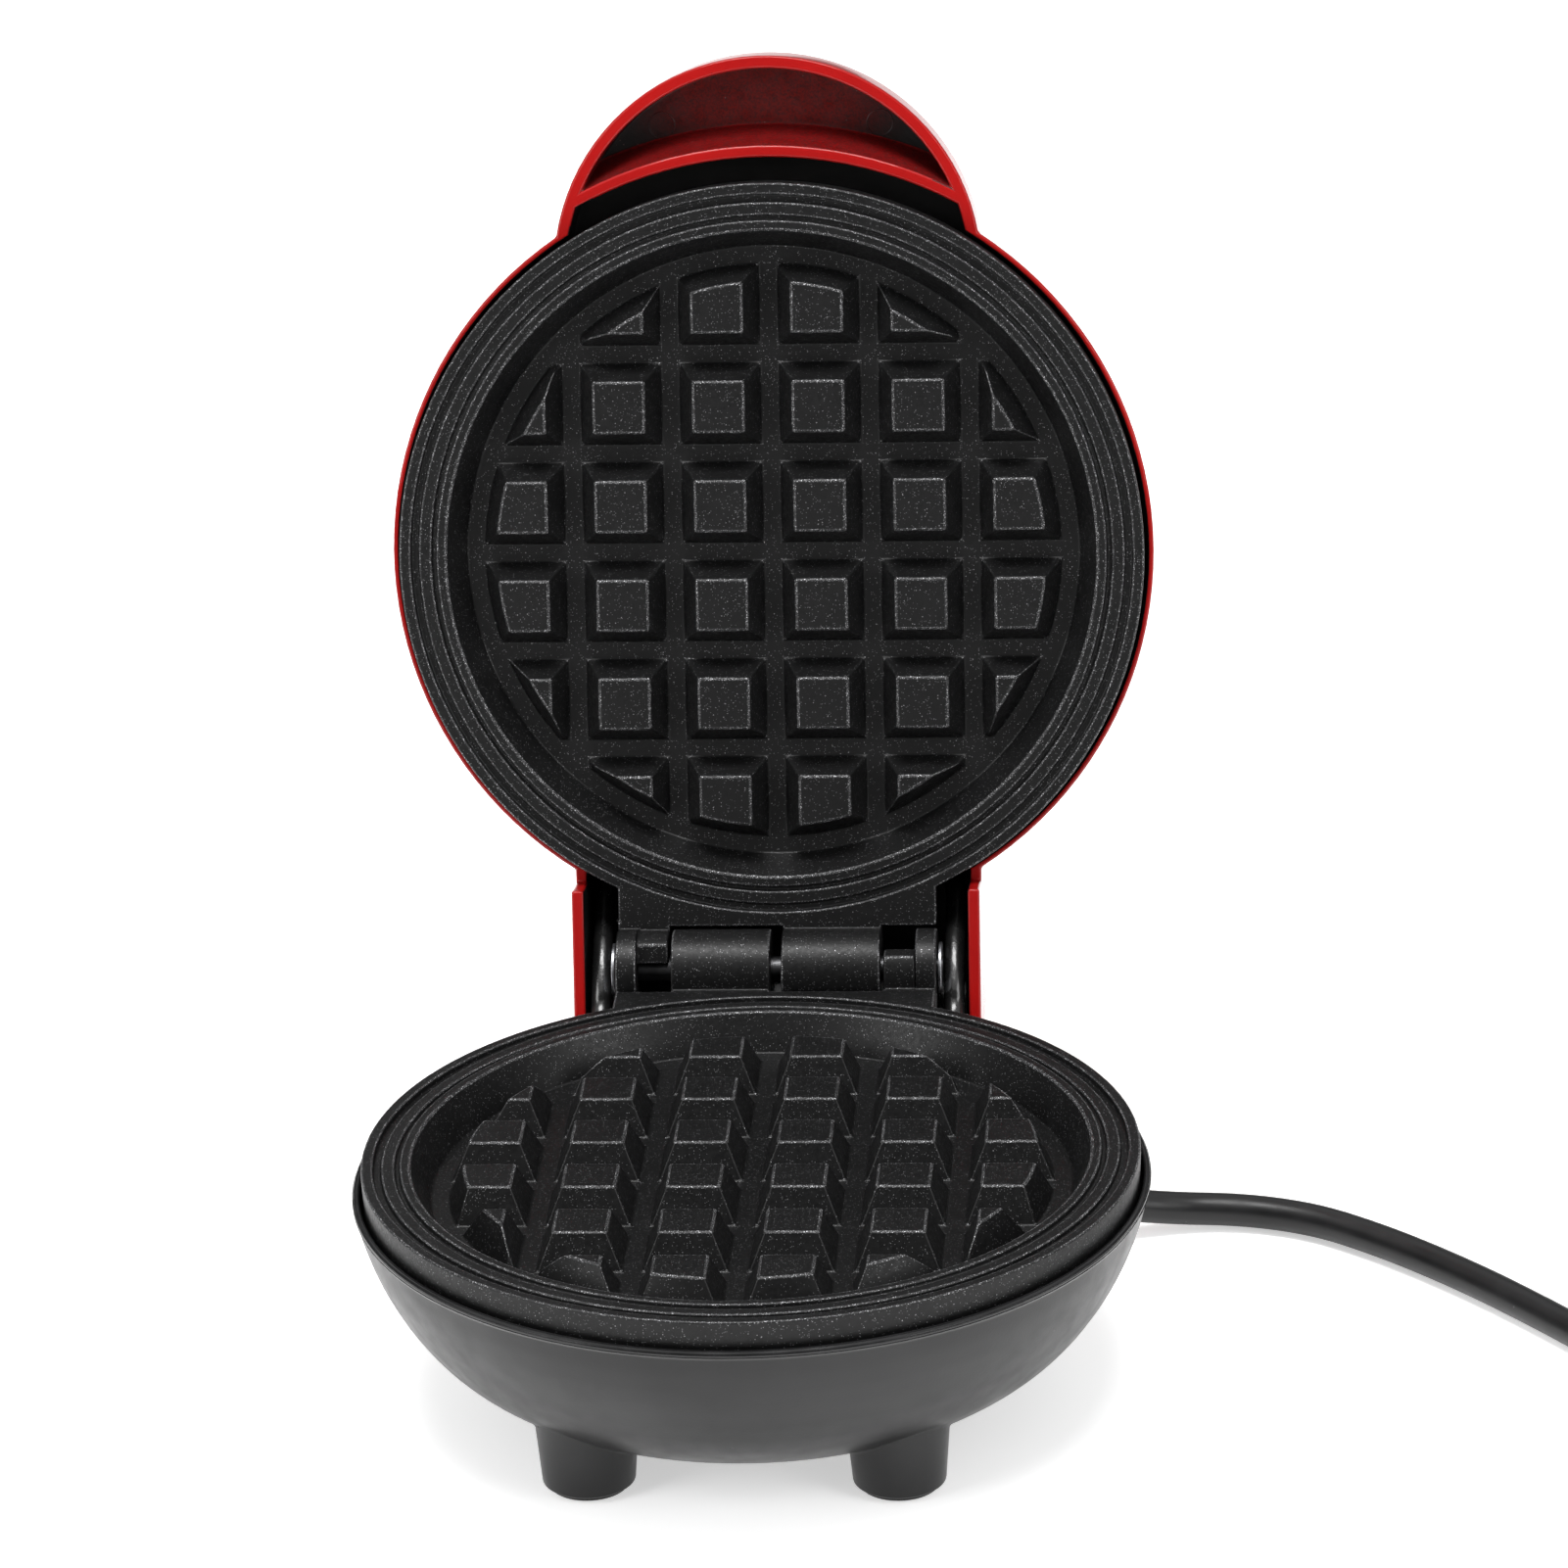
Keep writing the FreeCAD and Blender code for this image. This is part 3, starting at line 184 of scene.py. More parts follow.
FINE_FLAKES = 2.6  # the share of cells with a fine flake, against that of the coarse ones
FINE_GLOW = 0.45  # their brightness against a coarse one's


def coating(name, share, tone, glint, metallic):
    """Black non-stick coat over die-cast metal: pebbled, with scattered bright flakes."""
    look = Look(name, Specular_IOR_Level=0.26)
    coarse = look.specks(3000, share, 0.24)
    fine = look.specks(4300, share * FINE_FLAKES, 0.30)
    bright = look.math("MAXIMUM", coarse, look.math("MULTIPLY", fine, FINE_GLOW))
    cloud = look.noise(230, 4)
    black = look.mix(look.remap(cloud, 0.3, 0.7, 0, 1), rgb(tone, tone, tone * 1.03),
                     rgb(tone * 1.3, tone * 1.3, tone * 1.35))
    look.drive("Base Color", look.mix(bright, black, rgb(glint, glint, glint * 1.03)))
    look.drive("Metallic", look.math("MULTIPLY", bright, metallic))
    look.drive("Roughness", look.remap(look.noise(1300, 2), 0.3, 0.7, 0.36, 0.50))
    pebble = look.bump(look.noise(2300, 2), 0.22, 0.00010)
    look.drive("Normal", look.bump(cloud, 0.06, 0.0005, pebble))
    return look.material


def plastic(name, colour, rough, grain, depth, specks=0.0, spread=0.35, **fixed):
    """Moulded plastic: a faint cloud of tone, uneven gloss, fine grain and a few specks."""
    look = Look(name, **fixed)
    cloud = look.noise(60, 5)
    light = [c * (1 + spread) for c in colour]
    dark = [c * (1 - spread) for c in colour]
    tone = look.mix(look.remap(cloud, 0.32, 0.68, 0, 1), rgb(*dark), rgb(*light))
    if specks:
        tone = look.mix(look.specks(900, specks, 0.16), tone, rgb(*[c * 3 + 0.02 for c in colour]))
    look.drive("Base Color", tone)
    look.drive("Roughness", look.remap(look.noise(240, 4), 0.3, 0.7, rough - 0.05, rough + 0.06))
    look.drive("Normal", look.bump(look.noise(grain, 3), 0.25, depth))
    return look.material


def metal(name, colour, rough, stretch, scale=900, wear=0.25):
    """Metal with drawn or ground marks along one direction and a duller cloud over it."""
    look = Look(name, Metallic=1.0)
    marks = look.noise(scale, 4, stretch=stretch)
    cloud = look.noise(150, 3)
    dull = [c * (1 - wear) for c in colour]
    look.drive("Base Color", look.mix(look.remap(cloud, 0.3, 0.7, 0, 1), rgb(*dull), rgb(*colour)))
    look.drive("Roughness", look.remap(marks, 0.3, 0.7, rough - 0.07, rough + 0.12))
    look.drive("Normal", look.bump(marks, 0.12, 0.00005))
    return look.material


def gloss_red():
    """Gloss red coat: nearly even, with slight orange peel and a few dust nibs."""
    look = Look("gloss_red", Roughness=0.32, Specular_IOR_Level=0.12, Coat_Weight=0.7,
                Coat_Roughness=0.05, Coat_IOR=1.33)
    cloud = look.noise(35, 3)
    red = look.mix(look.remap(cloud, 0.3, 0.7, 0, 1), rgb(0.27, 0.004, 0.004),
                   rgb(0.33, 0.006, 0.0055))
    look.drive("Base Color", look.mix(look.specks(700, 0.012, 0.12), red, rgb(0.2, 0.004, 0.004)))
    look.drive("Normal", look.bump(look.noise(520, 2), 0.10, 0.00012))
    return look.material


def overspray(name, reach, floor_level, rim_level, deepest):
    """Bare black moulding, with red mist that settled away from the hollow's corners."""
    look = Look(name, Specular_IOR_Level=0.22)
    parts = look.node("ShaderNodeSeparateXYZ", {"Vector": look.place})
    aside = look.math("ABSOLUTE", parts.outputs[0])
    centre = look.smooth_step(aside, reach, reach * 0.4)
    height = look.smooth_step(parts.outputs[2], floor_level, rim_level)
    mist = look.math("MULTIPLY", centre, height)
    grainy = look.math("MULTIPLY", mist, look.remap(look.noise(2600, 3), 0.30, 0.62, 0.25, 1.0))
    red = look.mix(grainy, rgb(0.007, 0.006, 0.006), rgb(*deepest))
    nib = look.specks(1700, 0.05, 0.18)
    look.drive("Base Color", look.mix(nib, red, rgb(0.10, 0.06, 0.06)))
    look.drive("Roughness", look.remap(look.noise(500, 3), 0.3, 0.7, 0.28, 0.5))
    look.drive("Normal", look.bump(look.noise(1800, 3), 0.3, 0.00014))
    return look.material


NONSTICK = coating("nonstick", share=0.060, tone=0.0036, glint=0.28, metallic=0.8)
# The raised edges of the plates: a lighter coat with denser, brighter flakes, as a painted
# highlight.
NONSTICK_PAINTED_HIGHLIGHT = coating("nonstick_painted_highlight", share=0.50, tone=0.016, glint=0.46, metallic=0.3)
RED = gloss_red()
MIST = overspray("black_overspray", reach=0.025, floor_level=0.171, rim_level=0.177,
                 deepest=(0.115, 0.0030, 0.0022))
MIST_WALL = overspray("red_overspray", reach=0.050, floor_level=0.150, rim_level=0.158,
                      deepest=(0.15, 0.003, 0.003))
SATIN = plastic("satin_black", (0.0115, 0.0115, 0.0118), rough=0.36, grain=2600, depth=0.00005,
                specks=0.006, Specular_IOR_Level=0.31)
BEAD = plastic("gloss_black_bead", (0.010, 0.010, 0.0105), rough=0.2, grain=1500, depth=0.00003,
               Specular_IOR_Level=0.4)
BLACK_INSIDE = plastic("black_inside", (0.0065, 0.006, 0.006), rough=0.36, grain=1300,
                       depth=0.00005, specks=0.008, Specular_IOR_Level=0.3)
SHEATH = plastic("cord_sheath", (0.008, 0.008, 0.0084), rough=0.38, grain=2400, depth=0.00004,
                 specks=0.008, Specular_IOR_Level=0.35)
PLUG_BLACK = plastic("plug_black", (0.010, 0.010, 0.0104), rough=0.42, grain=1800,
                     depth=0.00007, Specular_IOR_Level=0.4)
RUBBER = plastic("foot_rubber", (0.016, 0.016, 0.016), rough=0.7, grain=1400, depth=0.00012)
SILICONE = plastic("sleeve_silicone", (0.008, 0.008, 0.008), rough=0.28, grain=420, depth=0.0006,
                   Coat_Weight=0.35)
WHITE_SILICONE = plastic("wire_silicone", (0.66, 0.65, 0.61), rough=0.6, grain=2200,
                         depth=0.0001, spread=0.08)
AMBER = plastic("lens_amber", (0.62, 0.13, 0.02), rough=0.14, grain=700, depth=0.00004,
                spread=0.12, Transmission_Weight=0.45, IOR=1.49)
CERAMIC = plastic("ceramic", (0.74, 0.71, 0.64), rough=0.7, grain=1200, depth=0.0001,
                  specks=0.02, spread=0.06)
PHENOLIC = plastic("phenolic", (0.10, 0.045, 0.025), rough=0.5, grain=1500, depth=0.0001,
                   specks=0.02)
STEEL = metal("pin_steel", (0.12, 0.12, 0.125), rough=0.40, stretch=(1, 12, 12))
ZINC = metal("zinc_screw", (0.58, 0.59, 0.62), rough=0.32, stretch=(6, 6, 1), scale=700)
HEAT_TINT = metal("heater_sheath", (0.34, 0.30, 0.26), rough=0.42, stretch=(3, 3, 3), wear=0.45)
SHEET = metal("shield_sheet", (0.74, 0.74, 0.76), rough=0.3, stretch=(1, 22, 22), scale=300)
BRASS = metal("brass", (0.78, 0.62, 0.34), rough=0.26, stretch=(9, 1, 9), wear=0.3)

# ---------------------------------------------------------------- mesh helpers
WELD_GAP = 0.004
SLIVER = 0.03
FLAT_ANGLE = 0.4


def piece(name, data, looks):
    """A new object around a mesh or a curve, with its materials in slot order."""
    item = bpy.data.objects.new(name, data)
    SCENE.collection.objects.link(item)
    for look in looks:
        data.materials.append(look)
    return item


def circle(count):
    """The angles of so many even steps around a circle."""
    return [2 * math.pi * i / count for i in range(count)]


def finish_mesh(work, name, looks, crease=40.0):
    """Write a bmesh out with smooth faces, sharp where it turns by more than crease."""
    limit = math.radians(crease)
    for face in work.faces:
        face.smooth = True
    for edge in work.edges:
        edge.smooth = len(edge.link_faces) == 2 and edge.calc_face_angle(0) < limit
    mesh = bpy.data.meshes.new(name)
    work.to_mesh(mesh)
    work.free()
    item = piece(name, mesh, looks)
    weigh = item.modifiers.new("weighted_normals", "WEIGHTED_NORMAL")
    weigh.keep_sharp = True
    return item


def from_frame(node):
    """The node's shape as a clean bmesh: welded, and flat faces in one piece."""
    work = bmesh.new()
    work.from_mesh(frame["nodes"][node].data)
    for layer in list(work.verts.layers.float_color):
        work.verts.layers.float_color.remove(layer)
    bmesh.ops.remove_doubles(work, verts=work.verts, dist=WELD_GAP * MM)
    bmesh.ops.dissolve_limit(work, angle_limit=math.radians(FLAT_ANGLE), verts=work.verts,
                             edges=work.edges, delimit={"MATERIAL"})
    bmesh.ops.dissolve_degenerate(work, edges=work.edges, dist=SLIVER * MM)
    bmesh.ops.recalc_face_normals(work, faces=work.faces)
    return work


def round_edges(work, width, segments=2, angle=28.0, slot=-1, keep=None):
    """Round every edge that turns by more than angle, or those of them that keep() picks.

    Overlaps aren't clamped: the shortest edge of the mesh would hold every bevel back.
    """
    limit = math.radians(angle)
    sharp = [e for e in work.edges if len(e.link_faces) == 2 and e.calc_face_angle(0) > limit
             and (keep is None or keep(e))]
    bmesh.ops.bevel(work, geom=sharp, offset=width, offset_type="OFFSET", segments=segments,
                    profile=0.5, affect="EDGES", clamp_overlap=False, material=slot,
                    loop_slide=True)


def slot_faces(work, choose):
    for face in work.faces:
        face.material_index = choose(face)


# ---------------------------------------------------------------- the cord
CORD_RADIUS = 2.75
GLAND = Vector((33.0, 42.0, 12.5))
HEADING = Vector((0.86, 0.44, -0.25)).normalized()
CORD_RUN = [
    tuple(GLAND + HEADING * 24.4),
    (64.6, 57.0, 3.45),
    (77.2, 57.9, 2.8),
    (89.2, 54.1, 2.75),
    (99.2, 46.5, 2.78),
    (108.0, 38.4, 2.75),
    (116.6, 29.3, 2.78),
    (124.7, 19.8, 2.75),
    (132.6, 9.8, 2.78),
    (140.4, -1.1, 2.75),
    (147.7, -13.2, 2.78),
]
TAIL_RUN = [
    (209.1, -5.0, 8.3),
    (212.4, 7.8, 7.6),
    (215.2, 20.6, 5.6),
    (216.7, 32.4, 6.6),
    (216.9, 44.0, 7.5),
]
COIL = Vector((176.9, 3.6, 0))
# Degrees along the coil: where it starts and ends, and where it moves in, up and out again.
COIL_START, COIL_END, TURN_STEP = 230, 1420, 20
MOVE_IN, MOVE_UP, MOVE_OUT = (480, 560), (850, 925), (1215, 1290)
OUTER, INNER = 33.9, 28.1
LOW, HIGH = 2.78, 8.35


def ease(value, low, high):
    share = min(1.0, max(0.0, (value - low) / (high - low)))
    return share * share * (3 - 2 * share)


def coil_points():
    """The turns: one outside and one inside on the table, then the same on top of them."""
    points = []
    for angle in range(COIL_START, COIL_END, TURN_STEP):
        inward = ease(angle, *MOVE_IN) - ease(angle, *MOVE_OUT)
        radius = OUTER + (INNER - OUTER) * inward
        height = LOW + (HIGH - LOW) * ease(angle, *MOVE_UP)
        turn = math.radians(angle)
        points.append((COIL.x + radius * math.cos(turn), COIL.y + radius * math.sin(turn), height))
    return points


def tube(name, radius, around, along, routes):
    """Curve data: a round tube along each route, a list of control points in metres."""
    data = bpy.data.curves.new(name, "CURVE")
    data.dimensions = "3D"
    data.bevel_depth = radius * MM
    data.bevel_resolution = around
    data.resolution_u = along
    data.use_fill_caps = True
    for points in routes:
        spline = data.splines.new("NURBS")
        spline.points.add(len(points) - 1)
        for control, point in zip(spline.points, points):
            control.co = (*point, 1.0)
        spline.order_u = 3
        spline.use_endpoint_u = True
        spline.use_smooth = True
    return data


def make_cord():
    route = [spot(*point) for point in CORD_RUN + coil_points() + TAIL_RUN]
    return piece("mains_cord", tube("mains_cord", CORD_RADIUS, 8, 12, [route]), [SHEATH])


cord = make_cord()
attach(cord, "base")
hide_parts("power_cord", "cord_coil", "cord_tail")


def lathe(name, profile, start, axis, looks, sides=64):
    """Turn (distance along, radius) pairs about an axis; every pair is in millimetres."""
    work = bmesh.new()
    side = axis.orthogonal().normalized()
    other = axis.cross(side).normalized()
    rings = []
    for along, radius in profile:
        centre = start + axis * along * MM
        if radius < 1e-6:
            rings.append([work.verts.new(centre)])
            continue
        rings.append([work.verts.new(centre + (side * math.cos(a) + other * math.sin(a))
                                     * radius * MM) for a in circle(sides)])
    for low, high in zip(rings, rings[1:]):
        for i in range(sides):
            j = (i + 1) % sides
            corners = [low[i % len(low)], low[j % len(low)], high[j % len(high)],
                       high[i % len(high)]]
            unique = list(dict.fromkeys(corners))
            if len(unique) > 2:
                work.faces.new(unique)
    bmesh.ops.recalc_face_normals(work, faces=work.faces)
    return finish_mesh(work, name, looks)


RELIEF_BORE = 2.6
MOUTH_EDGE, TIP_EDGE = 0.3, 0.35
FIRST_GROOVE, PLAIN_LENGTH, GROOVE_DEPTH = 1.4, 3.0, 0.9
# One groove's outline: how far along the pitch, and how deep.
GROOVE = ((0.0, 0.0), (0.16, 0.5), (0.3, 0.72), (0.55, 0.72), (0.7, 0.5), (0.86, 0.0))


def ribbed_relief(name, start, axis, length, wide, narrow, ribs):
    """A tapered sleeve with flexing grooves cut across it."""
    profile = [(0, RELIEF_BORE), (0, wide - MOUTH_EDGE), (MOUTH_EDGE, wide)]
    pitch = (length - PLAIN_LENGTH) / ribs
    for i in range(ribs):
        low = FIRST_GROOVE + pitch * i
        for along, depth in GROOVE:
            here = low + pitch * along
            taper = wide + (narrow - wide) * here / length
            profile.append((here, taper - depth * GROOVE_DEPTH))
    profile += [(length - TIP_EDGE, narrow), (length, narrow - TIP_EDGE), (length, RELIEF_BORE)]
    return lathe(name, profile, start, axis, [PLUG_BLACK])


# The neck through the shell's wall and the collar outside it: distance along, and radius.
COLLAR = [(-10.8, 0), (-10.8, 4.5), (3.05, 4.5), (3.05, 5.1), (3.3, 5.35), (4.3, 5.35),
          (4.7, 5.0), (4.75, 0)]
SLEEVE_START = 4.6


def make_collar(relief):
    """The gland's neck and collar, moving with the ribbed sleeve."""
    collar = lathe("strain_relief_collar", COLLAR, spot(*GLAND), HEADING, [PLUG_BLACK])
    collar.parent = relief
    return collar


relief = ribbed_relief("strain_relief_sleeve", spot(*(GLAND + HEADING * SLEEVE_START)), HEADING,
                       length=19.8, wide=4.55, narrow=3.5, ribs=5)
relief_collar = make_collar(relief)
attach(relief, "base")
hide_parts("strain_relief")

plug_low, plug_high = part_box("plug_body")
PLUG_AXIS = Vector((0, 1, 0))
plug_centre = Vector(((plug_low.x + plug_high.x) / 2, plug_low.y, (plug_low.z + plug_high.z) / 2))
plug_relief = ribbed_relief("plug_relief_sleeve", plug_centre, -PLUG_AXIS, length=14.0, wide=4.55,
                            narrow=3.35, ribs=4)
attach(plug_relief, "base")
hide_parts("plug_relief")


PLUG_SIDES = 72


def make_plug_body():
    """Moulded body: a rounded block that swells for the grip and has a flat face."""
    work = bmesh.new()
    length = (plug_high.y - plug_low.y) / MM
    half_x = (plug_high.x - plug_low.x) / 2 / MM
    half_z = (plug_high.z - plug_low.z) / 2 / MM
    # Distance along, share of the full width and height, and how square the outline is.
    stations = [(0.0, 0.42, 0.60, 2.2), (0.25, 0.50, 0.70, 2.3), (1.2, 0.60, 0.80, 2.5),
                (4.0, 0.78, 0.93, 2.8), (7.0, 0.84, 0.955, 3.0), (9.0, 0.80, 0.93, 3.2),
                (11.0, 0.79, 0.93, 3.4), (13.0, 0.83, 0.955, 3.6), (16.0, 0.94, 0.985, 4.0),
                (18.0, 0.99, 1.0, 4.4), (length - 1.4, 1.0, 1.0, 4.6),
                (length - 0.4, 0.985, 0.985, 4.6), (length, 0.95, 0.94, 4.6)]
    rings = []
    for along, wide, tall, power in stations:
        ring = []
        for a in circle(PLUG_SIDES):
            cx, cz = math.cos(a), math.sin(a)
            x = math.copysign(abs(cx) ** (2 / power), cx) * half_x * wide
            z = math.copysign(abs(cz) ** (2 / power), cz) * half_z * tall
            ring.append(work.verts.new(plug_centre + Vector((x, along, z)) * MM))
        rings.append(ring)
    for low, high in zip(rings, rings[1:]):
        for i in range(PLUG_SIDES):
            j = (i + 1) % PLUG_SIDES
            work.faces.new((low[i], low[j], high[j], high[i]))
    work.faces.new(rings[0])
    work.faces.new(rings[-1])
    bmesh.ops.recalc_face_normals(work, faces=work.faces)
    return finish_mesh(work, "plug_moulding", [PLUG_BLACK])


plug_moulding = make_plug_body()
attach(plug_moulding, "base")
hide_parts("plug_body")


BLADE_ASIDE = 6.35
BLADE_HALF = 0.75
HOLE_BACK, HOLE_RADIUS, HOLE_SIDES = 5.0, 1.6, 24
# One half of a blade's tip: back from the end, and the share of the half height.
TIP = ((2.2, 1), (0.6, 0.72), (0, 0.3))


def make_blades():
    """Two flat blades with a hole near the end and rounded tips."""
    low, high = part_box("plug_pins")
    half = (high.z - low.z) / 2
    middle = (high.z + low.z) / 2
    rim = [(low.y, middle - half)]
    rim += [(high.y - back * MM, middle - half * share) for back, share in TIP]
    rim += [(high.y - back * MM, middle + half * share) for back, share in reversed(TIP)]
    rim += [(low.y, middle + half)]
    hole = [(high.y - HOLE_BACK * MM + HOLE_RADIUS * MM * math.cos(a),
             middle + HOLE_RADIUS * MM * math.sin(a)) for a in circle(HOLE_SIDES)]
    work = bmesh.new()
    for side in (-1, 1):
        x = plug_centre.x + side * BLADE_ASIDE * MM
        layers = []
        for depth in (-BLADE_HALF, BLADE_HALF):
            outer = [work.verts.new((x + depth * MM, y, z)) for y, z in rim]
            inner = [work.verts.new((x + depth * MM, y, z)) for y, z in hole]
            edges = [work.edges.new((ring[i], ring[(i + 1) % len(ring)]))
                     for ring in (outer, inner) for i in range(len(ring))]
            bmesh.ops.triangle_fill(work, edges=edges, use_beauty=True, use_dissolve=False)
            layers.append((outer, inner))
        for ring in (0, 1):
            for i in range(len(layers[0][ring])):
                j = (i + 1) % len(layers[0][ring])
                work.faces.new((layers[0][ring][i], layers[0][ring][j], layers[1][ring][j],
                                layers[1][ring][i]))
    bmesh.ops.recalc_face_normals(work, faces=work.faces)
    return finish_mesh(work, "plug_blades", [BRASS])


blades = make_blades()
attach(blades, "base")
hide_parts("plug_pins")

# ---------------------------------------------------------------- cooking plates


PLATE_ROUNDING = 0.35
TURNS = 0.1  # radians between two faces, above which the edge between them counts
PROUD = 0.54  # cosine between an edge with the painted highlight and the way that its plate faces, at least


def make_plate(node, body, facing):
    """The plate with rounded edges.  The ones that stand proud along facing get a lighter coat
    with more flakes: a painted highlight.
    """
    work = from_frame(node)
    round_edges(work, PLATE_ROUNDING * MM, segments=3, slot=1)
    for face in work.faces:
        crown = sum(edge.calc_length() * (1 if edge.is_convex else -1)
                    for edge in face.edges if edge.calc_face_angle(0) > TURNS)
        # Only the convex edges that face along facing keep the lighter coat of the painted
        # highlight; the rest go back to the plain coat.
        if face.material_index == 1 and (crown <= 0 or face.normal.dot(facing) < PROUD):
            face.material_index = 0
    plate = finish_mesh(work, node + "_coated", [NONSTICK, NONSTICK_PAINTED_HIGHLIGHT], crease=50)
    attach(plate, body)
    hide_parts(node)
    return plate


make_plate("lower_plate", "base", Vector((0, 0, 1)))
make_plate("upper_plate", "lid", OPENING @ Vector((0, 0, -1)))

# ---------------------------------------------------------------- shells
# Zones are in the bench's millimetres, those of the lid with the lid shut.
BASE_ROUNDING = 0.4
BEAD_LEVEL, BEAD_RADIUS, TROUGH_Y = 35.35, 61.5, 55
BOWL_FLOOR, BOWL_RADIUS = 8, 63


def make_base():
    """The bowl: satin outside, a glossier bead around the rim, bare black inside."""
    work = from_frame("base_shell")
    round_edges(work, BASE_ROUNDING * MM, segments=3)

    def choose(face):
        centre = face.calc_center_median()
        x, y, z = centre.x / MM, centre.y / MM - BENCH_Y, centre.z / MM
        radius = math.hypot(x, y)
        inward = face.normal.x * x + face.normal.y * y < 0
        if z > BEAD_LEVEL and radius > BEAD_RADIUS and y < TROUGH_Y:
            return 1
        return 2 if inward and z > BOWL_FLOOR and radius < BOWL_RADIUS else 0

    slot_faces(work, choose)
    shell = finish_mesh(work, "base_shell_moulding", [SATIN, BEAD, BLACK_INSIDE])
    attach(shell, "base")
    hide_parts("base_shell")


LID_ROUNDING, HOOD_ROUNDING = 0.45, 2.5
GRIP_Y, GRIP_RADIUS = -46.9, 33.6
GRIP_START, HOLLOW_START = 65, 65.8
GRIP_LOW, GRIP_HIGH, GRIP_MOUTH = 47.6, 57.2, 49
DOME_RADIUS, DOME_LOW, DOME_HIGH = 65.7, 47.4, 71.5
HOOD_MIDDLE = Vector((0, 62, 48))
HOOD_SIDE, HOOD_REACH, HOOD_INSIDE_TOP = 34.0, 34.5, 68
HOOD_INSIDE_FRONT, HOOD_FRONT, HOOD_BACK = 50, 43, 82.2
HOOD_FOOT, HOOD_ROOF = 39.5, 50


def make_lid():
    """The dome with its grip and hood: red outside, misted in the grip, black inside."""
    work = from_frame("lid_shell")

    def choose(face):
        centre = closed(face.calc_center_median())
        facing = CLOSING @ face.normal
        x, y, z = centre
        radius = math.hypot(x, y)
        in_grip = (math.hypot(x, y - GRIP_Y) < GRIP_RADIUS and radius > GRIP_START
                   and GRIP_LOW < z < GRIP_HIGH)
        if in_grip and facing.z < -0.7:
            return 1
        if in_grip and radius > HOLLOW_START:
            return 3 if facing.y < 0 or z > GRIP_MOUTH else 0
        looks_in = facing.x * x + facing.y * y < 0 or facing.z < -0.3
        if radius < DOME_RADIUS and DOME_LOW < z < DOME_HIGH and looks_in:
            return 2
        in_hood = y > HOOD_INSIDE_FRONT and abs(x) < HOOD_REACH and z < HOOD_INSIDE_TOP
        if in_hood and facing.dot(centre - HOOD_MIDDLE) < 0:
            return 2
        return 0

    def hood_side(edge):
        """The long outer edges between the hood's sides and its back and roof."""
        spots = [closed(vert.co) for vert in edge.verts]
        on_side = all(abs(abs(p.x) - HOOD_SIDE) < 0.05 and p.y > HOOD_FRONT for p in spots)
        outer = all(p.y > HOOD_BACK or p.z > HOOD_ROOF for p in spots)
        above = max(p.z for p in spots) > HOOD_FOOT
        return on_side and outer and above and edge.is_convex

    slot_faces(work, choose)
    round_edges(work, HOOD_ROUNDING * MM, segments=5, keep=hood_side)
    round_edges(work, LID_ROUNDING * MM, segments=3)
    shell = finish_mesh(work, "lid_shell_moulding", [RED, MIST, BLACK_INSIDE, MIST_WALL])
    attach(shell, "lid")
    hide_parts("lid_shell")


MARKS_X, MARKS_Y, MARKS_Z = (-17.7, 18.5), -70.4, 56.3
MARK_RADIUS, MARK_WIRE = 2.15, 0.10
MARK_TURNS, MARK_SIDES = 48, 8


def ejector_marks():
    """The two thin rings that the moulding pins left on the floor of the grip's hollow."""
    work = bmesh.new()
    for x in MARKS_X:
        turns = []
        for a in circle(MARK_TURNS):
            ring = []
            for b in circle(MARK_SIDES):
                reach = MARK_RADIUS + MARK_WIRE * math.cos(b)
                ring.append(work.verts.new(opened(x + reach * math.cos(a),
                                                  MARKS_Y + reach * math.sin(a),
                                                  MARKS_Z - MARK_WIRE * math.sin(b))))
            turns.append(ring)
        for i in range(MARK_TURNS):
            here, there = turns[i], turns[(i + 1) % MARK_TURNS]
            for j in range(MARK_SIDES):
                k = (j + 1) % MARK_SIDES
                work.faces.new((here[j], here[k], there[k], there[j]))
    bmesh.ops.recalc_face_normals(work, faces=work.faces)
    marks = finish_mesh(work, "ejector_marks", [MIST])
    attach(marks, "lid")


make_base()
make_lid()
ejector_marks()

# ---------------------------------------------------------------- wire sleeves of the hinge
SLEEVE_RADIUS = 1.7
SLEEVE_BASE = [(17.0, 40.0, 20.5), (27.0, 45.5, 23.8), (28.8, 48.2, 29.0), (29.5, 55.0, 32.3),
               (29.5, 62.0, 33.6), (29.5, 66.4, 36.4), (29.5, 67.5, 39.1)]
SLEEVE_LID = [(29.5, 66.9, 44.6), (29.5, 63.0, 49.8), (29.5, 57.0, 54.0), (26.5, 51.0, 60.0),
              (21.0, 42.0, 64.8)]


def make_sleeves():
    """One flexible sleeve on each side, from the base past the hinge's axis into the lid."""
    routes = []
    for side in (1, -1):
        below = [spot(x * side, y, z) for x, y, z in SLEEVE_BASE]
        above = [opened(x * side, y, z) for x, y, z in SLEEVE_LID]
        routes.append(below + above)
    lines = piece("sleeve_lines", tube("sleeve_lines", SLEEVE_RADIUS, 6, 10, routes), [])
    bpy.context.view_layer.update()
    seen = lines.evaluated_get(bpy.context.evaluated_depsgraph_get())
    mesh = bpy.data.meshes.new_from_object(seen)
    bpy.data.objects.remove(lines)
    mesh.materials.clear()
    for face in mesh.polygons:
        face.use_smooth = True
    sleeves = piece("hinge_wire_sleeves", mesh, [SILICONE])
    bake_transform(sleeves)
    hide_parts("hinge_sleeves_base", "hinge_sleeves_lid")


make_sleeves()

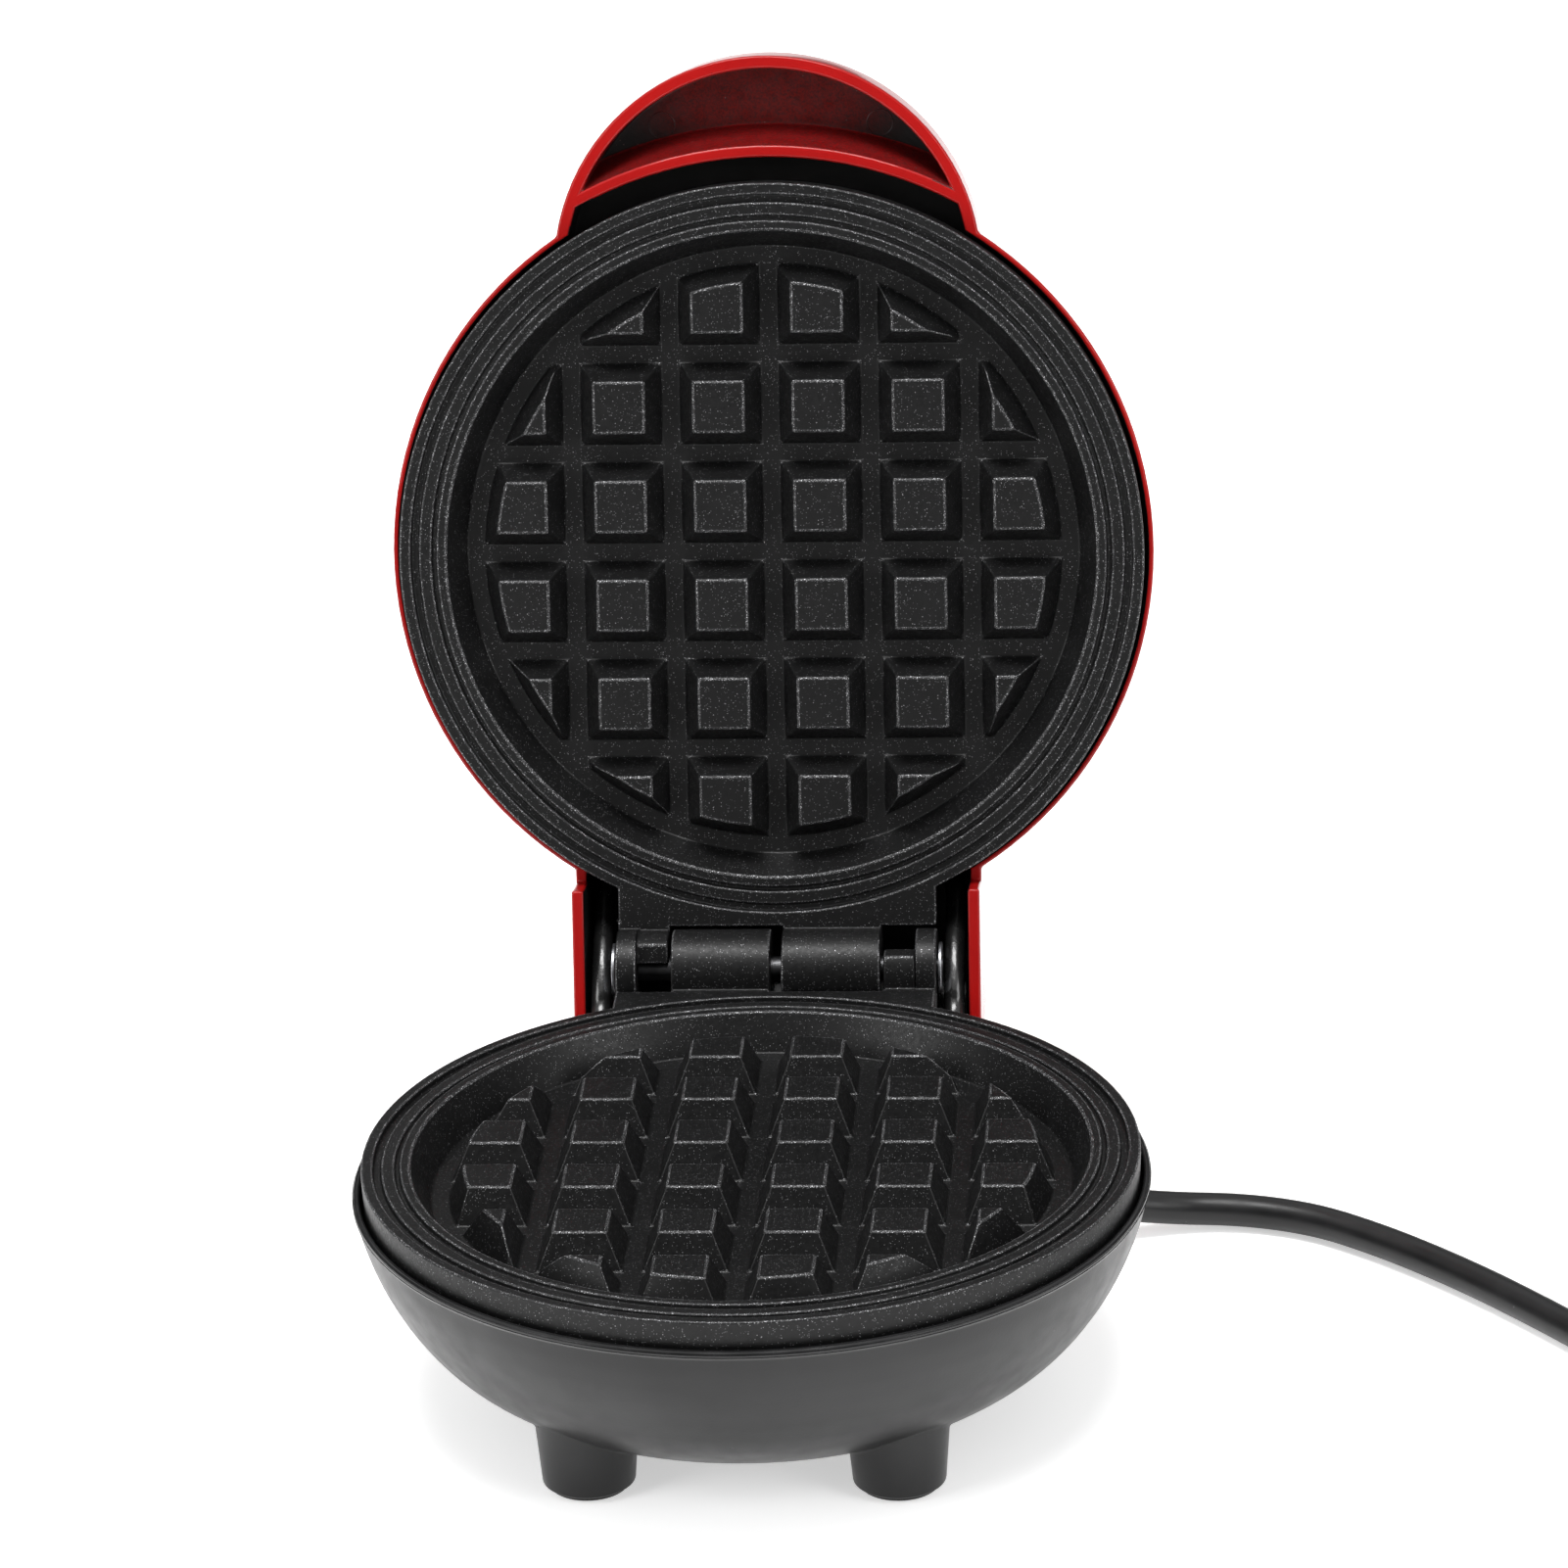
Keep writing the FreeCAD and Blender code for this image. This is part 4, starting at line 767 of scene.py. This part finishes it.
# ---------------------------------------------------------------- what stays from the frame
CARRIED = {
    "foot_pads": RUBBER, "hinge_pin": STEEL, "hinge_clips": ZINC, "base_screws": ZINC,
    "lid_screws": ZINC, "thermostat": PHENOLIC, "thermostat_strap": ZINC, "thermal_fuse": BRASS,
    "terminal_block": CERAMIC, "terminal_screws": BRASS, "cord_clamp": PLUG_BLACK,
    "clamp_screws": ZINC, "inner_lead": SHEATH, "base_wiring": WHITE_SILICONE,
    "lid_wiring": WHITE_SILICONE, "lower_heater": HEAT_TINT, "upper_heater": HEAT_TINT,
    "lower_heater_seals": CERAMIC, "upper_heater_seals": CERAMIC, "lower_heat_shield": SHEET,
    "upper_heat_shield": SHEET, "lid_screw_caps": RED, "indicator_lens": AMBER,
    "neon_lamp": WHITE_SILICONE,
}
# How wide the edges of these are rounded, in mm.
SOFTENED = {"foot_pads": 0.4, "hinge_clips": 0.08, "base_screws": 0.25, "lid_screws": 0.25,
            "lid_screw_caps": 0.25, "indicator_lens": 0.45, "cord_clamp": 0.3,
            "terminal_block": 0.3, "hinge_pin": 0.3}


def soften(item, width):
    """Round a plain node's edges, and leave its mesh as it is."""
    weld = item.modifiers.new("weld", "WELD")
    weld.merge_threshold = WELD_GAP * MM
    bevel = item.modifiers.new("bevel", "BEVEL")
    bevel.width = width * MM
    bevel.segments = 3
    bevel.limit_method = "ANGLE"
    bevel.angle_limit = math.radians(35)
    weigh = item.modifiers.new("weighted_normals", "WEIGHTED_NORMAL")
    weigh.keep_sharp = True


for node, look in CARRIED.items():
    data = frame["nodes"][node].data
    data.materials.clear()
    data.materials.append(look)
for node, width in SOFTENED.items():
    soften(frame["nodes"][node], width)

# ---------------------------------------------------------------- stage
FLOOR_REACH = 1.6
FLOOR_LEVEL = -0.0004
FLOOR_GREY = 0.88
FLOOR_GLOW = 0.52
SKY_LIGHT = 0.10


def make_floor():
    """A pale floor that glows a little, so that it runs into the white behind it."""
    mesh = bpy.data.meshes.new("floor")
    mesh.from_pydata([(-FLOOR_REACH, -FLOOR_REACH, 0), (FLOOR_REACH, -FLOOR_REACH, 0),
                      (FLOOR_REACH, FLOOR_REACH, 0), (-FLOOR_REACH, FLOOR_REACH, 0)],
                     [], [(0, 1, 2, 3)])
    look = Look("floor", Roughness=0.85, Base_Color=rgb(FLOOR_GREY, FLOOR_GREY, FLOOR_GREY),
                Emission_Color=rgb(1, 1, 1), Emission_Strength=FLOOR_GLOW)
    floor = piece("floor", mesh, [look.material])
    floor.location.z = FLOOR_LEVEL


def make_world():
    """White where the camera sees past the floor, and a dim even light for the rest."""
    world = bpy.data.worlds.new("studio")
    world.use_nodes = True
    tree = world.node_tree
    sky = tree.nodes["Background"]
    sky.inputs["Color"].default_value = rgb(1, 1, 1)
    sky.inputs["Strength"].default_value = SKY_LIGHT
    seen = tree.nodes.new("ShaderNodeBackground")
    seen.inputs["Color"].default_value = rgb(1, 1, 1)
    path = tree.nodes.new("ShaderNodeLightPath")
    choice = tree.nodes.new("ShaderNodeMixShader")
    tree.links.new(path.outputs["Is Camera Ray"], choice.inputs[0])
    tree.links.new(sky.outputs[0], choice.inputs[1])
    tree.links.new(seen.outputs[0], choice.inputs[2])
    tree.links.new(choice.outputs[0], tree.nodes["World Output"].inputs["Surface"])
    SCENE.world = world
    SCENE.view_settings.view_transform = "Standard"


def softbox(name, place, aim, size, power):
    data = bpy.data.lights.new(name, "AREA")
    data.shape = "RECTANGLE"
    data.size, data.size_y = size
    data.energy = power
    lamp = bpy.data.objects.new(name, data)
    lamp.location = place
    lamp.rotation_euler = (Vector(aim) - Vector(place)).to_track_quat("-Z", "Y").to_euler()
    SCENE.collection.objects.link(lamp)


def skylight(name, direction, spread, strength):
    """A very large soft source far away: even over the whole floor."""
    data = bpy.data.lights.new(name, "SUN")
    data.angle = math.radians(spread)
    data.energy = strength
    lamp = bpy.data.objects.new(name, data)
    lamp.rotation_euler = Vector(direction).to_track_quat("-Z", "Y").to_euler()
    SCENE.collection.objects.link(lamp)


make_floor()
make_world()
skylight("ceiling", (0.0, -0.10, -1.0), 110, 1.45)
softbox("left_box", (-1.05, -0.80, 0.70), (0, 0, 0.08), (0.6, 0.8), 9.0)
softbox("right_box", (1.10, -0.75, 0.70), (0, 0, 0.08), (0.6, 0.8), 8.0)
softbox("top_box", (-0.05, -0.22, 1.30), (0, 0.02, 0.08), (0.8, 0.35), 16.0)
